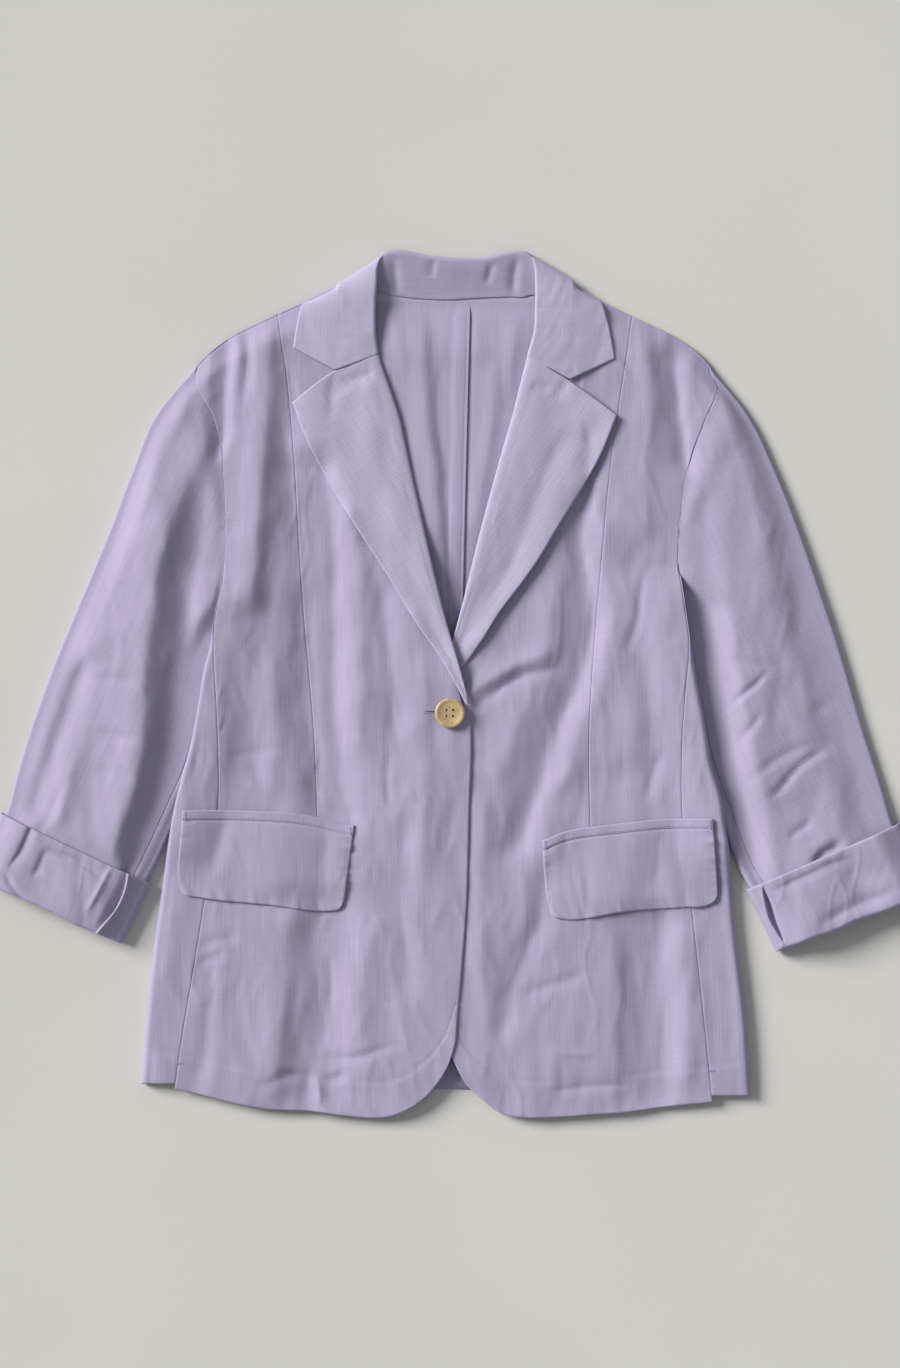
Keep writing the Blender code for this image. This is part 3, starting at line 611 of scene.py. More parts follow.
for side, sign in SIDES.items():
    x, y = between_edges(line(PRINCESS[side], sign * SEAM / 2),
                         line(FRONT_OUTER[side], -sign * SEAM / 2),
                         line(SHOULDER[side]), line(POCKET_LINE[side], -WELT_LAP),
                         spaced(70, 2.2), spaced(400, 2.4, (True, False)))
    z = front_rows(side, x, y, ["inner", "outer"], ["top"])
    lay_cloth(f"{side}_side_front", f"front_side_{side}", rows_of(x, y, z),
              flip=side == "right")

for side, sign in SIDES.items():
    foot = float(read(HEM[side], read(BODY_EDGE[side], -330)))
    y = lerp(UNDERARM + 30, foot, spaced(453, 2.5, (False, True)))[:, None]
    seam = read(FRONT_OUTER[side], y) + sign * ARMHOLE_GAP / 2
    edge = read(BODY_EDGE[side], y)
    under = SIDE_UNDER * smooth((y + 166) / 40)
    top = front_height(side, edge, y)
    radius = (top - under) / 2
    turn = edge - sign * radius
    turn = np.where(sign * (turn - seam) > 0.6, turn, seam + sign * 0.6)
    flat_x = lerp(seam, turn, spaced(30, 2.0, (True, False))[None, :])
    flat_z = front_surface(side, flat_x, y)
    flat_z = lerp(flat_z, top, smooth(1 - np.abs(turn - flat_x) / 6))
    tucked = SIDE_TUCK * smooth((y - 88) / 8)
    distance = np.abs(flat_x - seam)
    flat_z = flat_z - seam_dip(distance) + pucker(distance, y, 61, 0.2)
    angle = np.linspace(0, math.pi, 14)[None, 1:]
    arc_x = turn + sign * np.maximum(np.abs(edge - turn), 0.4) * np.sin(angle)
    arc_z = under + radius + radius * np.cos(angle)
    run = np.linspace(0, 1, 9)[None, 1:]
    in_x = edge - sign * lerp(UNDER_TURN * 0.3, UNDER_END, run)
    in_z = under * (1 - smooth((np.abs(edge - in_x) - UNDER_TURN) / (UNDER_FOOT - UNDER_TURN)))
    x = np.hstack([flat_x, arc_x, in_x])
    z = np.hstack([flat_z, arc_z, in_z])
    z = np.maximum(z - (turned_edge(y - foot, 1.7) + tucked) * (z > 3), 0.0)
    lay_cloth(f"{side}_side_panel", f"side_panel_{side}", rows_of(x, y, z),
              flip=side == "right")


# ---- Sleeves --------------------------------------------------------------------------------
# A two-piece sleeve of the same linen, set into the armhole with its ease worked in. It lies as
# a flattened tube. Its inner edge is tucked under the body, and a long hollow runs down it.

SLEEVE_LENGTH = 430.0
SLEEVE_GRAIN = 24       # the sleeves lie turned from the body by this many degrees
SLEEVE_EDGE = 6.6       # thickness of the tucked and folded edges of the sleeve
SLEEVE_RISE = 24.0      # run in which a sleeve rises from its edge
SLEEVE_TUCK = {"right": 8.4, "left": 5.0}                    # height where it lies under the body
ARMHOLE_FOOT = {"right": (18, 78), "left": (60, 46)}          # where the sleeve dives: y, run
DIVE = 42.0             # above that it has its full height this much farther in
SLEEVE_START = {"right": (10.0, 26.0), "left": (14.0, 24.0)}  # rise beside the body: from, run
OUTER_RISE = {"right": 24.0, "left": 44.0}      # the same from the outer edge
SLEEVE_HEAD = 2.5       # swell of the sleeve beyond the shoulder tip
EASE = 2.2              # the eased head of the sleeve puffs up this much beside the armhole
THINNEST = 2.6          # two layers of the sleeve, pressed flat
SLEEVE_SEAM = (0.06, 0.088)    # inner sleeve seam at the armhole and cuff, shares of the width
BACK_SEAM = 0.88        # the other seam, underneath
SEAM_SHARE = 0.0006     # half the gap between the two sleeve parts
CUFF_ROW = 8            # row of the table below at which the cuff's top edge lies
# Sleeve from the armhole to the cuff. Rows are (inner x, inner y, outer x, outer y, share of the
# armhole's curve, height, underside).
SLEEVE = {
    "right": [(-188.5, 93, -212, 263.4, 1.0, 10, 1.4), (-189, 62, -244, 221, 0.7, 13, 0.4),
              (-190, 30, -262, 176, 0.45, 15, 0), (-196, -5, -281, 128, 0.2, 15, 0),
              (-204, -42, -300, 85, 0, 15, 0), (-213, -78, -320, 38, 0, 15, 0),
              (-225, -108, -340, -14, 0, 15, 0), (-241, -144, -357, -66, 0, 15, 0.4),
              (-253, -167, -368, -107, 0, 14, 2.2), (-266, -193, -382, -132, 0, 14, 2.2),
              (-276, -213, -395, -155, 0, 14, 2.2)],
    "left": [(193, 92, 218, 261.2, 1.0, 10, 1.4), (191, 62, 247, 222, 0.7, 12, 0.4),
             (192, 28, 266, 182, 0.45, 13, 0), (198, -8, 286, 134, 0.2, 13, 0),
             (205, -44, 305, 84, 0, 13, 0), (213, -80, 323, 30, 0, 13, 0),
             (223, -110, 340, -28, 0, 13, 0), (238, -150, 357, -82, 0, 13, 0.4),
             (250, -172, 367, -116, 0, 14, 2.2), (263, -198, 380, -144, 0, 14, 2.2),
             (274, -219, 393, -168, 0, 14, 2.2)],
}
SLEEVE_FOLDS = {
    "right": [
        ([(205, -197), (172, -214), (143, -229), (103, -240), (43, -250), (-27, -254),
          (-62, -258), (-97, -266), (-131, -278), (-160, -287), (-190, -296)], 24, 12, 7.2),
        ([(190, -196), (158, -201), (118, -209), (66, -218), (20, -224), (-38, -228),
          (-97, -243), (-139, -258), (-165, -267), (-190, -274)], 14, 11, -5.2),
        ([(243, -211), (218, -219), (200, -227)], 5, 4, -2.4),
        ([(232, -226), (205, -238)], 5, 6, -1.2),
        ([(150, -257), (128, -270), (103, -281), (36, -299)], 9, 12, -2.0),
        ([(20, -302), (-30, -320), (-88, -342), (-112, -346)], 12, 12, -5.4),
        ([(-60, -310), (-128, -330)], 7, 6, 1.6),
        ([(-76, -316), (-134, -342)], 5, 4, -1.2),
        ([(100, -292), (30, -316)], 10, 10, 1.2),
        ([(-20, -218), (-90, -232)], 8, 6, -1.2),
    ],
    "left": [
        ([(180, 222), (164, 222), (119, 226), (66, 234), (20, 237), (-15, 242), (-50, 244),
          (-100, 252)], 13, 34, 3.0),
        ([(120, 272), (40, 296), (-60, 326)], 18, 14, -1.8),
        ([(90, 262), (0, 284)], 12, 12, 1.4),
        ([(-20, 322), (-80, 338), (-130, 345)], 9, 11, -2.4),
        ([(200, 236), (140, 256)], 10, 14, 1.0),
    ],
}
SLEEVE_CREASES = {
    "right": [
        ([(-290, 6), (-249, 4)], 5, 3, -1.2),
        ([(-288, -38), (-262, -46)], 5, 3, -1.6),
        ([(-292, -72), (-262, -80)], 3, 5, -1.2),
        ([(-223, -4), (-204, 13)], 5, 5, 1.6),
        ([(-240, -60), (-222, -52)], 4, 5, 1.2),
    ],
    "left": [
        ([(228, 20), (251, 18), (270, 14)], 3, 2, -1.0),
        ([(234, -17), (251, -3), (262, 8)], 2.5, 4, -2.2),
        ([(264, -94), (280, -80), (297, -62), (312, -52)], 3, 5, -2.6),
        ([(248, -76), (288, -54), (310, -48)], 4, 5, -1.3),
        ([(281, -125), (297, -113)], 3, 4, -1.8),
        ([(238, -50), (258, -28)], 5, 5, -1.5),
        ([(300, -148), (311, -140), (324, -134)], 8, 6, -4.4),
        ([(300, -24), (330, -8)], 6, 8, -1.4),
    ],
}


def table_rows(rows, shares):
    """Columns of a table at shares of the way down it, smooth through its rows."""
    place = shares * (len(rows) - 1)
    return [read([(k, row[c]) for k, row in enumerate(rows)], place) for c in range(len(rows[0]))]


def sleeve_face(side, row, across, top):
    """Points of a sleeve's upper or under face; across runs from the inner edge to the outer."""
    sign = SIDES[side]
    inner_x, inner_y, outer_x, outer_y, curve, height, under = row
    first = SLEEVE[side][0]
    x, y = lerp(inner_x, outer_x, across), lerp(inner_y, outer_y, across)
    at_armhole = read(FRONT_OUTER[side], lerp(first[1], first[3], across)) - sign * 0.9
    x = x + curve * (at_armhole - lerp(first[0], first[2], across))
    x = x + sign * 4 * curve * (1 - curve) * SLEEVE_HEAD * smooth((across - 0.88) / 0.12)
    under = np.maximum(under, 0.0)
    if not top:
        return x, y, under + 0 * x
    width = np.hypot(outer_x - inner_x, outer_y - inner_y)
    foot, dive = ARMHOLE_FOOT[side]
    beyond = np.abs(x) - np.abs(read(BODY_EDGE[side], y)) + DIVE * smooth((y - foot) / dive)
    start, rise = SLEEVE_START[side]
    full = smooth((beyond - start) / rise)
    outer_run = (1 - across) * width - SLEEVE_EDGE / 2
    full = full * smooth(outer_run / lerp(OUTER_RISE[side], 20, curve))
    inner_run = across * width - SLEEVE_EDGE / 2
    full = full * lerp(smooth(inner_run / SLEEVE_RISE), 1.0, smooth(curve * 2 - 1))
    relief = fold_relief(x, y, SLEEVE_FOLDS[side], SLEEVE_CREASES[side])
    in_x, in_y, out_x, out_y = SLEEVE[side][CUFF_ROW][:4]
    above = (y - in_y) * (out_x - in_x) - (x - in_x) * (out_y - in_y)
    above = sign * above / math.hypot(out_x - in_x, out_y - in_y)
    relief = np.minimum(relief, 0) + np.maximum(relief, 0) * smooth((above + 2) / 26)
    crown = height + relief + lerp(0.6, 1.4, smooth(above / 16)) * crumple(x, y, 83)
    crown = lerp(crown, front_surface(side, x - sign * 2, y) - 0.4 - under, curve ** 2)
    crown = crown + EASE * np.exp(-((curve - 0.84) / 0.1) ** 2) * smooth((y - 120) / 40)
    edge = lerp(SLEEVE_EDGE, SHOULDER_HEIGHT, curve)
    beside = lerp(edge, SLEEVE_TUCK[side], smooth(outer_run / 40) * smooth(inner_run / 6))
    return x, y, under + np.maximum(lerp(beside, crown, full), THINNEST)


def sleeve_turn(side, row, edge, end):
    """The rounded edge that joins a sleeve's upper and under faces, from the end of the upper."""
    x, y, high = sleeve_face(side, row, edge, True)
    end_x, end_y, end_high = sleeve_face(side, row, end, True)
    low = sleeve_face(side, row, edge, False)[2]
    angle = np.linspace(0, math.pi, 12)[None, 1:]
    inward = 1 - np.sin(angle)
    radius = (lerp(high, end_high, np.clip(1 - angle / 1.6, 0, 1)) - low) / 2
    return lerp(x, end_x, inward), lerp(y, end_y, inward), low + radius * (1 + np.cos(angle))


def join_across(*parts):
    """Grids of x, y and z side by side."""
    return [np.hstack([part[c] for part in parts]) for c in range(3)]


for side, sign in SIDES.items():
    shares = spaced(SLEEVE_LENGTH, 2.5)[:, None]
    row = table_rows(SLEEVE[side], shares)
    seam = lerp(*SLEEVE_SEAM, smooth((shares - 0.3) / 0.45))
    width = np.hypot(row[2] - row[0], row[3] - row[1])
    inner_end = sleeve_face(side, row, 0.0, True)[2] - row[6]
    outer_end = sleeve_face(side, row, 1.0, True)[2] - row[6]
    last = 1 - outer_end / 2 / width
    across = lerp(seam + SEAM_SHARE, last, spaced(110, 2.3, (True, False))[None, :])
    x, y, z = sleeve_face(side, row, across, True)
    distance = (across - seam - SEAM_SHARE) * width
    along = shares * SLEEVE_LENGTH
    z = z - seam_dip(distance) + pucker(distance, along, 91, 0.25)
    z = z - seam_dip(along, 0.4, 1.0) + pucker(along, across * width, 93, 0.35, 4.6, 9)
    below = sleeve_face(side, row, np.linspace(0.955, BACK_SEAM, 8)[None, :], False)
    x, y, z = join_across((x, y, z), sleeve_turn(side, row, 1.0, last), below)
    lay_cloth(f"{side}_top_sleeve", f"top_sleeve_{side}", rows_of(x, y, z),
              flip=side == "right", turn=sign * SLEEVE_GRAIN)
    last = np.minimum(inner_end / 2 / width, seam - 0.006)
    across = lerp(seam - SEAM_SHARE, last, spaced(12, 2.0, (True, False))[None, :])
    x, y, z = sleeve_face(side, row, across, True)
    distance = (seam - SEAM_SHARE - across) * width
    z = z - seam_dip(distance) + pucker(distance, along, 95, 0.25)
    across = lerp(0.06, BACK_SEAM - SEAM_SHARE, np.linspace(0, 1, 22)[None, :])
    below = sleeve_face(side, row, across, False)
    x, y, z = join_across((x, y, z), sleeve_turn(side, row, 0.0, last), below)
    lay_cloth(f"{side}_under_sleeve", f"under_sleeve_{side}", rows_of(x, y, z),
              flip=side == "left", turn=sign * SLEEVE_GRAIN)


# ---- Cuffs ----------------------------------------------------------------------------------
# The end of each sleeve is turned up once, wide and unpressed, so the cuff is a band round the
# sleeve with a fold at its foot. The vent of the sleeve shows in it as a curved slit.

CUFF_WIDTH = 140.0
CUFF_DEPTH = 56
CUFF_HEIGHT = 20.0
CUFF_EDGE = 11.0        # thickness of the rounded edges at both ends
VENT_DEPTH = 7.0        # the left vent gapes this deep at its middle
# Turned-up cuff, top edge to folded bottom edge. Rows are (inner x, inner y, outer x, outer y).
CUFF = {
    "right": [(-248, -165, -373, -106), (-260, -190, -387, -131), (-272, -215, -400, -156)],
    "left": [(245, -170, 372, -115), (258, -197, 386, -143), (270, -222, 400, -171)],
}
VENT = {
    "right": [(-155, -265), (-171, -268.5), (-186, -275.5), (-206, -291.5)],      # rows are (y, x)
    "left": [(-168, 258.5), (-181, 261.5), (-194, 265), (-213, 275.5)],
}
CUFF_FOLDS = {
    "right": (
        [([(-110, -342), (-135, -353), (-150, -362)], 2.2, 7, -2.2),
         ([(-134, -332), (-158, -343)], 3, 5, -1.5),
         ([(-150, -281), (-166, -288), (-186, -300)], 3, 3, 1.6),
         ([(-158, -365), (-170, -357), (-180, -347)], 3, 3, -1.8)],
        [([(-328, -136), (-310, -146), (-285, -160)], 3, 3, -1.8)],
    ),
    "left": (
        [([(-150, 330), (-185, 345)], 12, 12, -1.6),
         ([(-166, 292), (-205, 306)], 9, 14, 1.4)],
        [([(268, -170), (300, -156), (330, -144)], 5, 3, -1.4),
         ([(305, -196), (335, -183), (365, -170)], 6, 6, -2.2)],
    ),
}

for side, sign in SIDES.items():
    share = spaced(CUFF_DEPTH, 1.2)[:, None]
    inner_x, inner_y, outer_x, outer_y = table_rows(CUFF[side], share)
    end = CUFF_EDGE / 2 / CUFF_WIDTH
    across = np.linspace(end, 1 - end, 170)[None, :]
    bulge = smooth((across + 0.02) / 0.21) * smooth((1.02 - across) / 0.21)
    x, y = lerp(inner_x, outer_x, across), lerp(inner_y, outer_y, across)
    y = y + smooth(share * 3 - 2) * bulge * 1.6 * noise(x, y, 24, 113)
    slack = 1.3 * crumple(x, y, 107) + 1.6 * noise(x, y, 34, 109)
    slack = slack + fold_relief(x, y, *CUFF_FOLDS[side])
    z = lerp(CUFF_EDGE, CUFF_HEIGHT, bulge) + slack * bulge
    down = share * CUFF_DEPTH
    z = z - turned_edge(down, 1.8) - turned_edge(CUFF_DEPTH - down, 3.2)
    z = z + pucker(down, across * 135, 111, 0.5, 7, 9) * bulge
    vent = (x - read(VENT[side], y)) * sign
    vent_top, vent_foot = VENT[side][0][0], VENT[side][-1][0]
    opened = np.sin(math.pi * np.clip((y - vent_foot) / (vent_top - vent_foot), 0, 1))
    if side == "right":
        z = z + 1.5 * np.exp(-((vent + 0.3) / 0.9) ** 2) - 2.2 * smooth(-vent / 18)
        steep = np.abs(np.minimum(vent - 1.6, 0) / 0.7) ** 2
        slow = np.abs(np.maximum(vent - 1.6, 0) / 5.5) ** 1.5
        z = z - (0.8 + 2.6 * opened) * np.exp(-steep - slow)
    else:
        away = np.abs((vent - 2.2 * opened) / (0.6 + 2.0 * opened))
        z = z - VENT_DEPTH * opened ** 0.5 * np.exp(-away ** 4)
        z = z + 0.9 * np.exp(-((vent + 1.2) / 1.6) ** 2)
    arcs = []
    for end_x, end_y, col, turn in ((outer_x, outer_y, -1, 1), (inner_x, inner_y, 0, -1)):
        angle = np.linspace(math.pi / 7, math.pi, 12)[None, ::turn]
        inward = 1 - np.sin(angle)
        high = lerp(z[:, [col]], CUFF_EDGE, np.clip(angle / 1.6, 0, 1))
        arcs.append((lerp(end_x, x[:, [col]], inward), lerp(end_y, y[:, [col]], inward),
                     high / 2 * (1 + np.cos(angle))))
    back = np.linspace(0.9, 0.1, 18)[None, :]
    under = (lerp(inner_x, outer_x, back), lerp(inner_y, outer_y, back), 0 * back + 0 * share)
    x, y, z = join_across(arcs[1], (x, y, z), arcs[0], under)
    x, y, z = [np.hstack([grid, grid[:, :1]]) for grid in (x, y, z)]
    lay_cloth(f"{side}_cuff", f"cuff_{side}", rows_of(x, y, z),
              flip=side == "right", turn=sign * SLEEVE_GRAIN)


# ---- Pockets --------------------------------------------------------------------------------
# A welt is sewn along each pocket line and a flap hangs from under it. The flaps are faced,
# turned and pressed, so that their edges draw up in small ripples.

WELT_DEPTH = 8.0
FLAP_DEPTH = 66
FLAP_LIFT = 2.4         # outer surface of a flap above the front
# Outline of the flaps. The sides are (y, x) rows and the bottom is (x, y) rows.
FLAP_SIDES = {
    "right": ([(-104, -221), (-131, -223), (-154, -225), (-176, -222)],
              [(-117, -79), (-186, -88)]),
    "left": ([(-129, 76), (-176, 80), (-195, 84)],
             [(-111, 217), (-147, 220), (-184, 222)]),
}
FLAP_BOTTOM = {
    "right": [(-225, -168), (-220, -174), (-207, -177), (-150, -183), (-97, -188), (-91, -186),
              (-88, -180)],
    "left": [(80, -184), (84, -191), (95, -195), (107, -195), (143, -189), (195, -185), (214, -183),
             (220, -178), (222, -172)],
}
FLAP_FOLDS = {
    "right": [
        ([(-112, -187), (-153, -196)], 9, 7, -1.5),
        ([(-112, -140), (-180, -144)], 30, 22, 1.6),
        ([(-116, -103), (-186, -104)], 11, 7, -1.7),
    ],
    "left": [
        ([(-124, 94), (-160, 96)], 4, 4, -1.0),
        ([(-128, 106), (-192, 108)], 20, 12, -1.8),
        ([(-122, 150), (-185, 142)], 26, 12, 1.4),
        ([(-118, 178), (-185, 172)], 12, 12, -1.6),
    ],
}


def flap_height(side, x, y):
    """Outer surface of the welt and flap, always clear of the front that they lie on."""
    own = front_height(side, x, y) + FLAP_LIFT + fold_relief(x, y, FLAP_FOLDS[side])
    own = own + 0.7 * crumple(x, y, 131)
    return np.maximum(own, front_surface(side, x, y) + CLOTH + 0.4)


for side, sign in SIDES.items():
    left, right = FLAP_SIDES[side]
    for name, depth in (("welt", WELT_DEPTH), ("flap", FLAP_DEPTH)):
        is_welt = name == "welt"
        top_edge = line(POCKET_LINE[side], 0 if is_welt else -(WELT_DEPTH + SEAM))
        foot_edge = line(POCKET_LINE[side], -WELT_DEPTH) if is_welt else line(FLAP_BOTTOM[side])
        x, y = between_edges(line(left), line(right), top_edge, foot_edge,
                             spaced(142, 1.9), spaced(depth, 1.7))
        z = flap_height(side, x, y)
        across, width = run_of(x, y, 1)
        down, length = run_of(x, y, 0)
        for seed, (distance, along) in enumerate(((across, down), (width - across, down))):
            height = 0.3 if is_welt else 1.1
            z = z - turned_edge(distance, 1.5) + pucker(distance, along, 141 + seed, height, 4.0, 8)
        if is_welt:
            z = z + 0.3 - turned_edge(down, 1.2) - seam_dip(length - down, 0.5, 1.2)
            z = z + pucker(down, across, 151, 0.12, 6, 7)
        else:
            z = z - seam_dip(down, 0.5, 1.3) - turned_edge(length - down, 1.6)
            z = z + pucker(length - down, across, 153, 0.9, 5.2, 9)
        lay_cloth(f"{side}_pocket_{name}", f"pocket_{name}_{side}", rows_of(x, y, z),
                  wall=CLOTH * 0.8)


# ---- Lapels ---------------------------------------------------------------------------------
# The top of each front is turned back along the roll line into a lapel, faced with the same
# linen. The roll is soft and unpressed, and the edge of the left lapel stands off the front.

# Outer edge of the lapel against the roll line. Rows are (roll y, edge x, edge y, bow, roll share).
LAPEL = {
    "right": [(272.6, -130.5, 233, 6.8, 1), (250, -121, 207, 0, 1), (220, -109, 183, 0, 1),
              (180, -92, 152, 0, 1), (140, -74, 124, 0, 1), (100, -52, 90, 0, 1),
              (60, -31, 55, 0, 1), (25, -9, 23, 0, 0.9), (0, 6, -3, 0, 0.7),
              (-16, 13, -17, 0, 0.4)],
    "left": [(271, 138, 222, 2.8, 1), (240, 126, 192, 0, 1), (210, 112, 166, 0, 1),
             (175, 92, 134, 0, 1), (140, 74, 104, 0, 1), (105, 57, 80, 0, 1), (75, 41, 59, 0, 0.9),
             (50, 26, 35, 0, 0.55), (30, 12, 16, 0, 0.35), (18, 2, 10, 0, 0.3)],
}
# Section of a lapel from the roll to its edge. Rows are (mm beyond the roll line, share of the
# width, height above the front as a share of the roll).
LAPEL_SECTION = [(-3.0, 0, -0.24), (-0.8, 0, 0.0), (0.0, 0, 0.4), (-0.9, 0, 0.72), (-3.2, 0, 0.92),
                 (-7.0, 0.02, 1.0), (0, 0.24, 0.96), (0, 0.5, 0.66), (0, 0.78, 0.4), (0, 1.0, 0.34)]
PAINTED_LIGHT_LINEN = linen("lilac_linen_painted_lighter", (0.446, 0.400, 0.560, 1.0))    # the same linen painted paler: painted light on the lapels and collar fall
LAPEL_ROLL = {"right": 3.5, "left": 5.4}        # height of the roll above the front
LAPEL_WIDTH = 72.0      # width at which the roll has its full size
LAPEL_CLEAR = 2.0       # least height of a lapel's outer surface above the front
LAPEL_STAND = {"right": 0.8, "left": 3.6}       # how far the outer edge stands off the front
LAPEL_FOLDS = {
    "right": ([([(256, -95), (222, -99)], 3, 3, -1.5), ([(200, -103), (168, -90)], 5, 6, -0.9),
               ([(220, -70), (120, -42)], 14, 9, 1.2)],
              [([(-98, 243), (-75, 252), (-52, 262)], 5, 6, -1.6)]),
    "left": ([([(252, 99), (234, 87)], 3, 3, -1.5), ([(214, 112), (198, 113)], 3, 3, -0.9),
              ([(204, 92), (150, 72), (100, 50), (66, 35)], 8, 9, -1.6)],
             [([(58, 246), (84, 243)], 5, 4, -1.2)]),
}

for side, sign in SIDES.items():
    shares = spaced(330, 2.3)[:, None]
    roll_y, edge_x, edge_y, bow, soft = table_rows(LAPEL[side], shares)
    roll_x = read(OPENING[side], roll_y)
    open_part = spaced(75, 2.2, (False, True))
    place = np.concatenate([np.linspace(0, 0.5, 18)[:-1], 0.5 + 0.5 * open_part])
    beyond, across, lift = table_rows(LAPEL_SECTION, place[None, :])
    across = np.clip(across, 0, 1)
    narrow = np.clip(np.hypot(edge_x - roll_x, edge_y - roll_y) / LAPEL_WIDTH, 0.12, 1)
    x = lerp(roll_x, edge_x, across) - sign * beyond * soft * narrow
    y = lerp(roll_y, edge_y, across) + bow * np.sin(math.pi * across)
    rise = LAPEL_ROLL[side] * soft * lift
    rise = np.where(across > 0, np.maximum(rise, LAPEL_CLEAR * smooth(across / 0.1)), rise)
    proud = smooth((y - 14) / 26) * smooth(across * 1.4 - 0.4)
    z = front_height(side, x, y) + rise + LAPEL_STAND[side] * proud
    relief = fold_relief(x, y, *LAPEL_FOLDS[side]) + 0.7 * crumple(x, y, 171)
    z = z + smooth(across / 0.12) * relief
    clear = front_surface(side, x, y) + CLOTH + 0.4
    z = np.where(across > 0.1, np.maximum(z, clear), z)
    run, width = run_of(x, y, 1)
    down, length = run_of(x, y, 0)
    top_edge = smooth((across - 0.48) / 0.04)
    z = z - turned_edge(width - run, 1.5) + pucker(width - run, down, 173, 0.25)
    z = z - turned_edge(down, 1.4) * top_edge - seam_dip(down) * (1 - top_edge) * (across > 0)
    lay_cloth(f"{side}_lapel", f"lapel_{side}", rows_of(x, y, z),
              flip=side == "right", turn=-sign * 32, finish=PAINTED_LIGHT_LINEN)


# ---- Collar ---------------------------------------------------------------------------------
# The collar is cut with a stand, which shows inside the neck, and a fall that turns over it.
# The fall meets the lapels in a gorge seam. Behind the neck it is folded under the back.

# Collar fall from the right tip round the neck to the left tip. Rows are (fold x, y, z,
# middle or turn x, y, z, outer edge x, y, z).
COLLAR_FALL = [
    (-58.9, 273, 13.6, -95.5, 259.6, 12.4, -129.8, 278, 12.4),
    (-61.2, 292, 14.0, -94, 288, 12.8, -127, 297, 12.2),
    (-61.3, 315, 13.8, -92, 313, 12.6, -123.5, 312, 10.0),
    (-60.4, 329, 13.6, -92, 325.5, 11.4, -120.5, 316, 6.0),
    (-60, 337, 13.0, -92, 330.5, 9.0, -117, 315, 1.5),
    (-59.5, 344.5, 12.2, -91, 333.2, 6.4, -106, 307, 1.3),
    (-56, 354, 10.6, -68, 347.4, 5.6, -88, 300, 1.3),
    (-46, 356, 10.0, -46, 359.2, 5.2, -52, 294, 1.3),
    (0, 350, 10.0, 0, 353.8, 5.2, 0, 292, 1.3),
    (54, 354, 10.0, 56, 358.2, 5.2, 60, 294, 1.3),
    (66, 354, 10.6, 78, 349.6, 5.6, 94, 300, 1.3),
    (69.7, 345, 12.0, 99, 336.2, 6.6, 111, 307, 1.3),
    (70, 337, 12.8, 102, 331.5, 9.0, 120, 316, 1.5),
    (70.2, 329, 13.4, 102, 326, 11.2, 124, 317, 6.0),
    (70.1, 312, 14.6, 101, 312, 13.0, 127.5, 311, 10.4),
    (69, 292, 15.4, 103, 284, 13.4, 132.5, 292, 12.6),
    (63.4, 271.5, 15.4, 99.5, 251.6, 13.2, 136.6, 269, 12.8),
]
# Top of the stand, where it rolls over into the fall. Rows are (x, y).
STAND_FOLD = [(-62, 350), (-56, 357), (-46, 359.9), (-16, 355.2), (22, 353.3), (56, 359), (66, 357),
              (72, 350)]
STAND_HEIGHT = 10.4
STAND_ROLL = 4.5        # radius of the roll at its top
COLLAR_LENGTH = 430.0
COLLAR_LOW = 1.3        # height of the collar's surface where it lies under the back
STAND_FOLDS = [
    ([(352, -45), (325, -43)], 5, 3, -1.8),
    ([(350, -11), (336, -12)], 6, 1.5, -1.1),
    ([(350, 34), (334, 31)], 3, 4, -1.5),
    ([(352, 54), (324, 54)], 4, 3, -1.8),
]

shares = spaced(COLLAR_LENGTH, 2.2)[:, None]
columns = table_rows(COLLAR_FALL, shares)
fold, turn, edge = columns[0:3], columns[3:6], columns[6:9]
under = smooth((6 - edge[2]) / 6)
first = np.linspace(0, 1, 26)[None, :]
second = spaced(60, 2.2, (False, True))[None, 1:]
sunk = lerp(1 - second, np.clip(1 - second / 0.25, 0, 1) ** 1.5, under)
front_part = [lerp(a, b, first) for a, b in zip(fold, turn)]
rear_part = [lerp(turn[0], edge[0], second), lerp(turn[1], edge[1], second),
             np.maximum(COLLAR_LOW, lerp(edge[2], turn[2], sunk))]
x, y, z = join_across(front_part, rear_part)
behind = smooth((x + 57) / 7) * smooth((69 - x) / 7) * smooth((y - 330) / 12)
shown = smooth((z - 6) / 3) * (1 - behind)
y, z = y - 2.0 * behind, np.maximum(z - 3.0 * behind, COLLAR_LOW)
run, width = run_of(x, y, 1)
down, length = run_of(x, y, 0)
arch = 1.2 * np.sin(math.pi * np.clip(run / 60, 0, 1))
z = z + shown * (0.5 * crumple(x, y, 191) + arch)
z = z - (turned_edge(width - run, 1.5) + 0.2 * noise(down, run, 9, 193)) * shown
for distance in (down, length - down):
    z = z - (turned_edge(distance, 1.4) * smooth((run - 37) / 3) + seam_dip(distance)) * shown
z = np.maximum(z - turned_edge(run, 1.6), COLLAR_LOW)
lay_cloth("collar_turnover", "collar_fall", rows_of(x, y, z), turn=90,
          finish=PAINTED_LIGHT_LINEN)


def neck(x):
    """The neck seam, in which the stand is sewn to both halves of the back."""
    x = np.clip(x, -57, 66)
    return np.where(x < 18, read(BACK_TOP["right"], x), read(BACK_TOP["left"], x))


x, y = between_edges(lambda y: -61.5 + 0 * y, lambda y: 71.5 + 0 * y,
                     line(STAND_FOLD), lambda x: neck(x) + SEAM,
                     spaced(131, 1.8), spaced(36, 1.6))
down, length = run_of(x, y, 0)
z = lerp(STAND_HEIGHT, 3.6, smooth(down / length * 0.8 + 0.1)) - turned_edge(down, STAND_ROLL)
z = z + (fold_relief(x, y, STAND_FOLDS) + 0.4 * crumple(x, y, 201)) * smooth(down / 6 + 0.2)
z = z - seam_dip(length - down)
lay_cloth("collar_inside", "collar_stand", rows_of(x, y, z), turn=90)


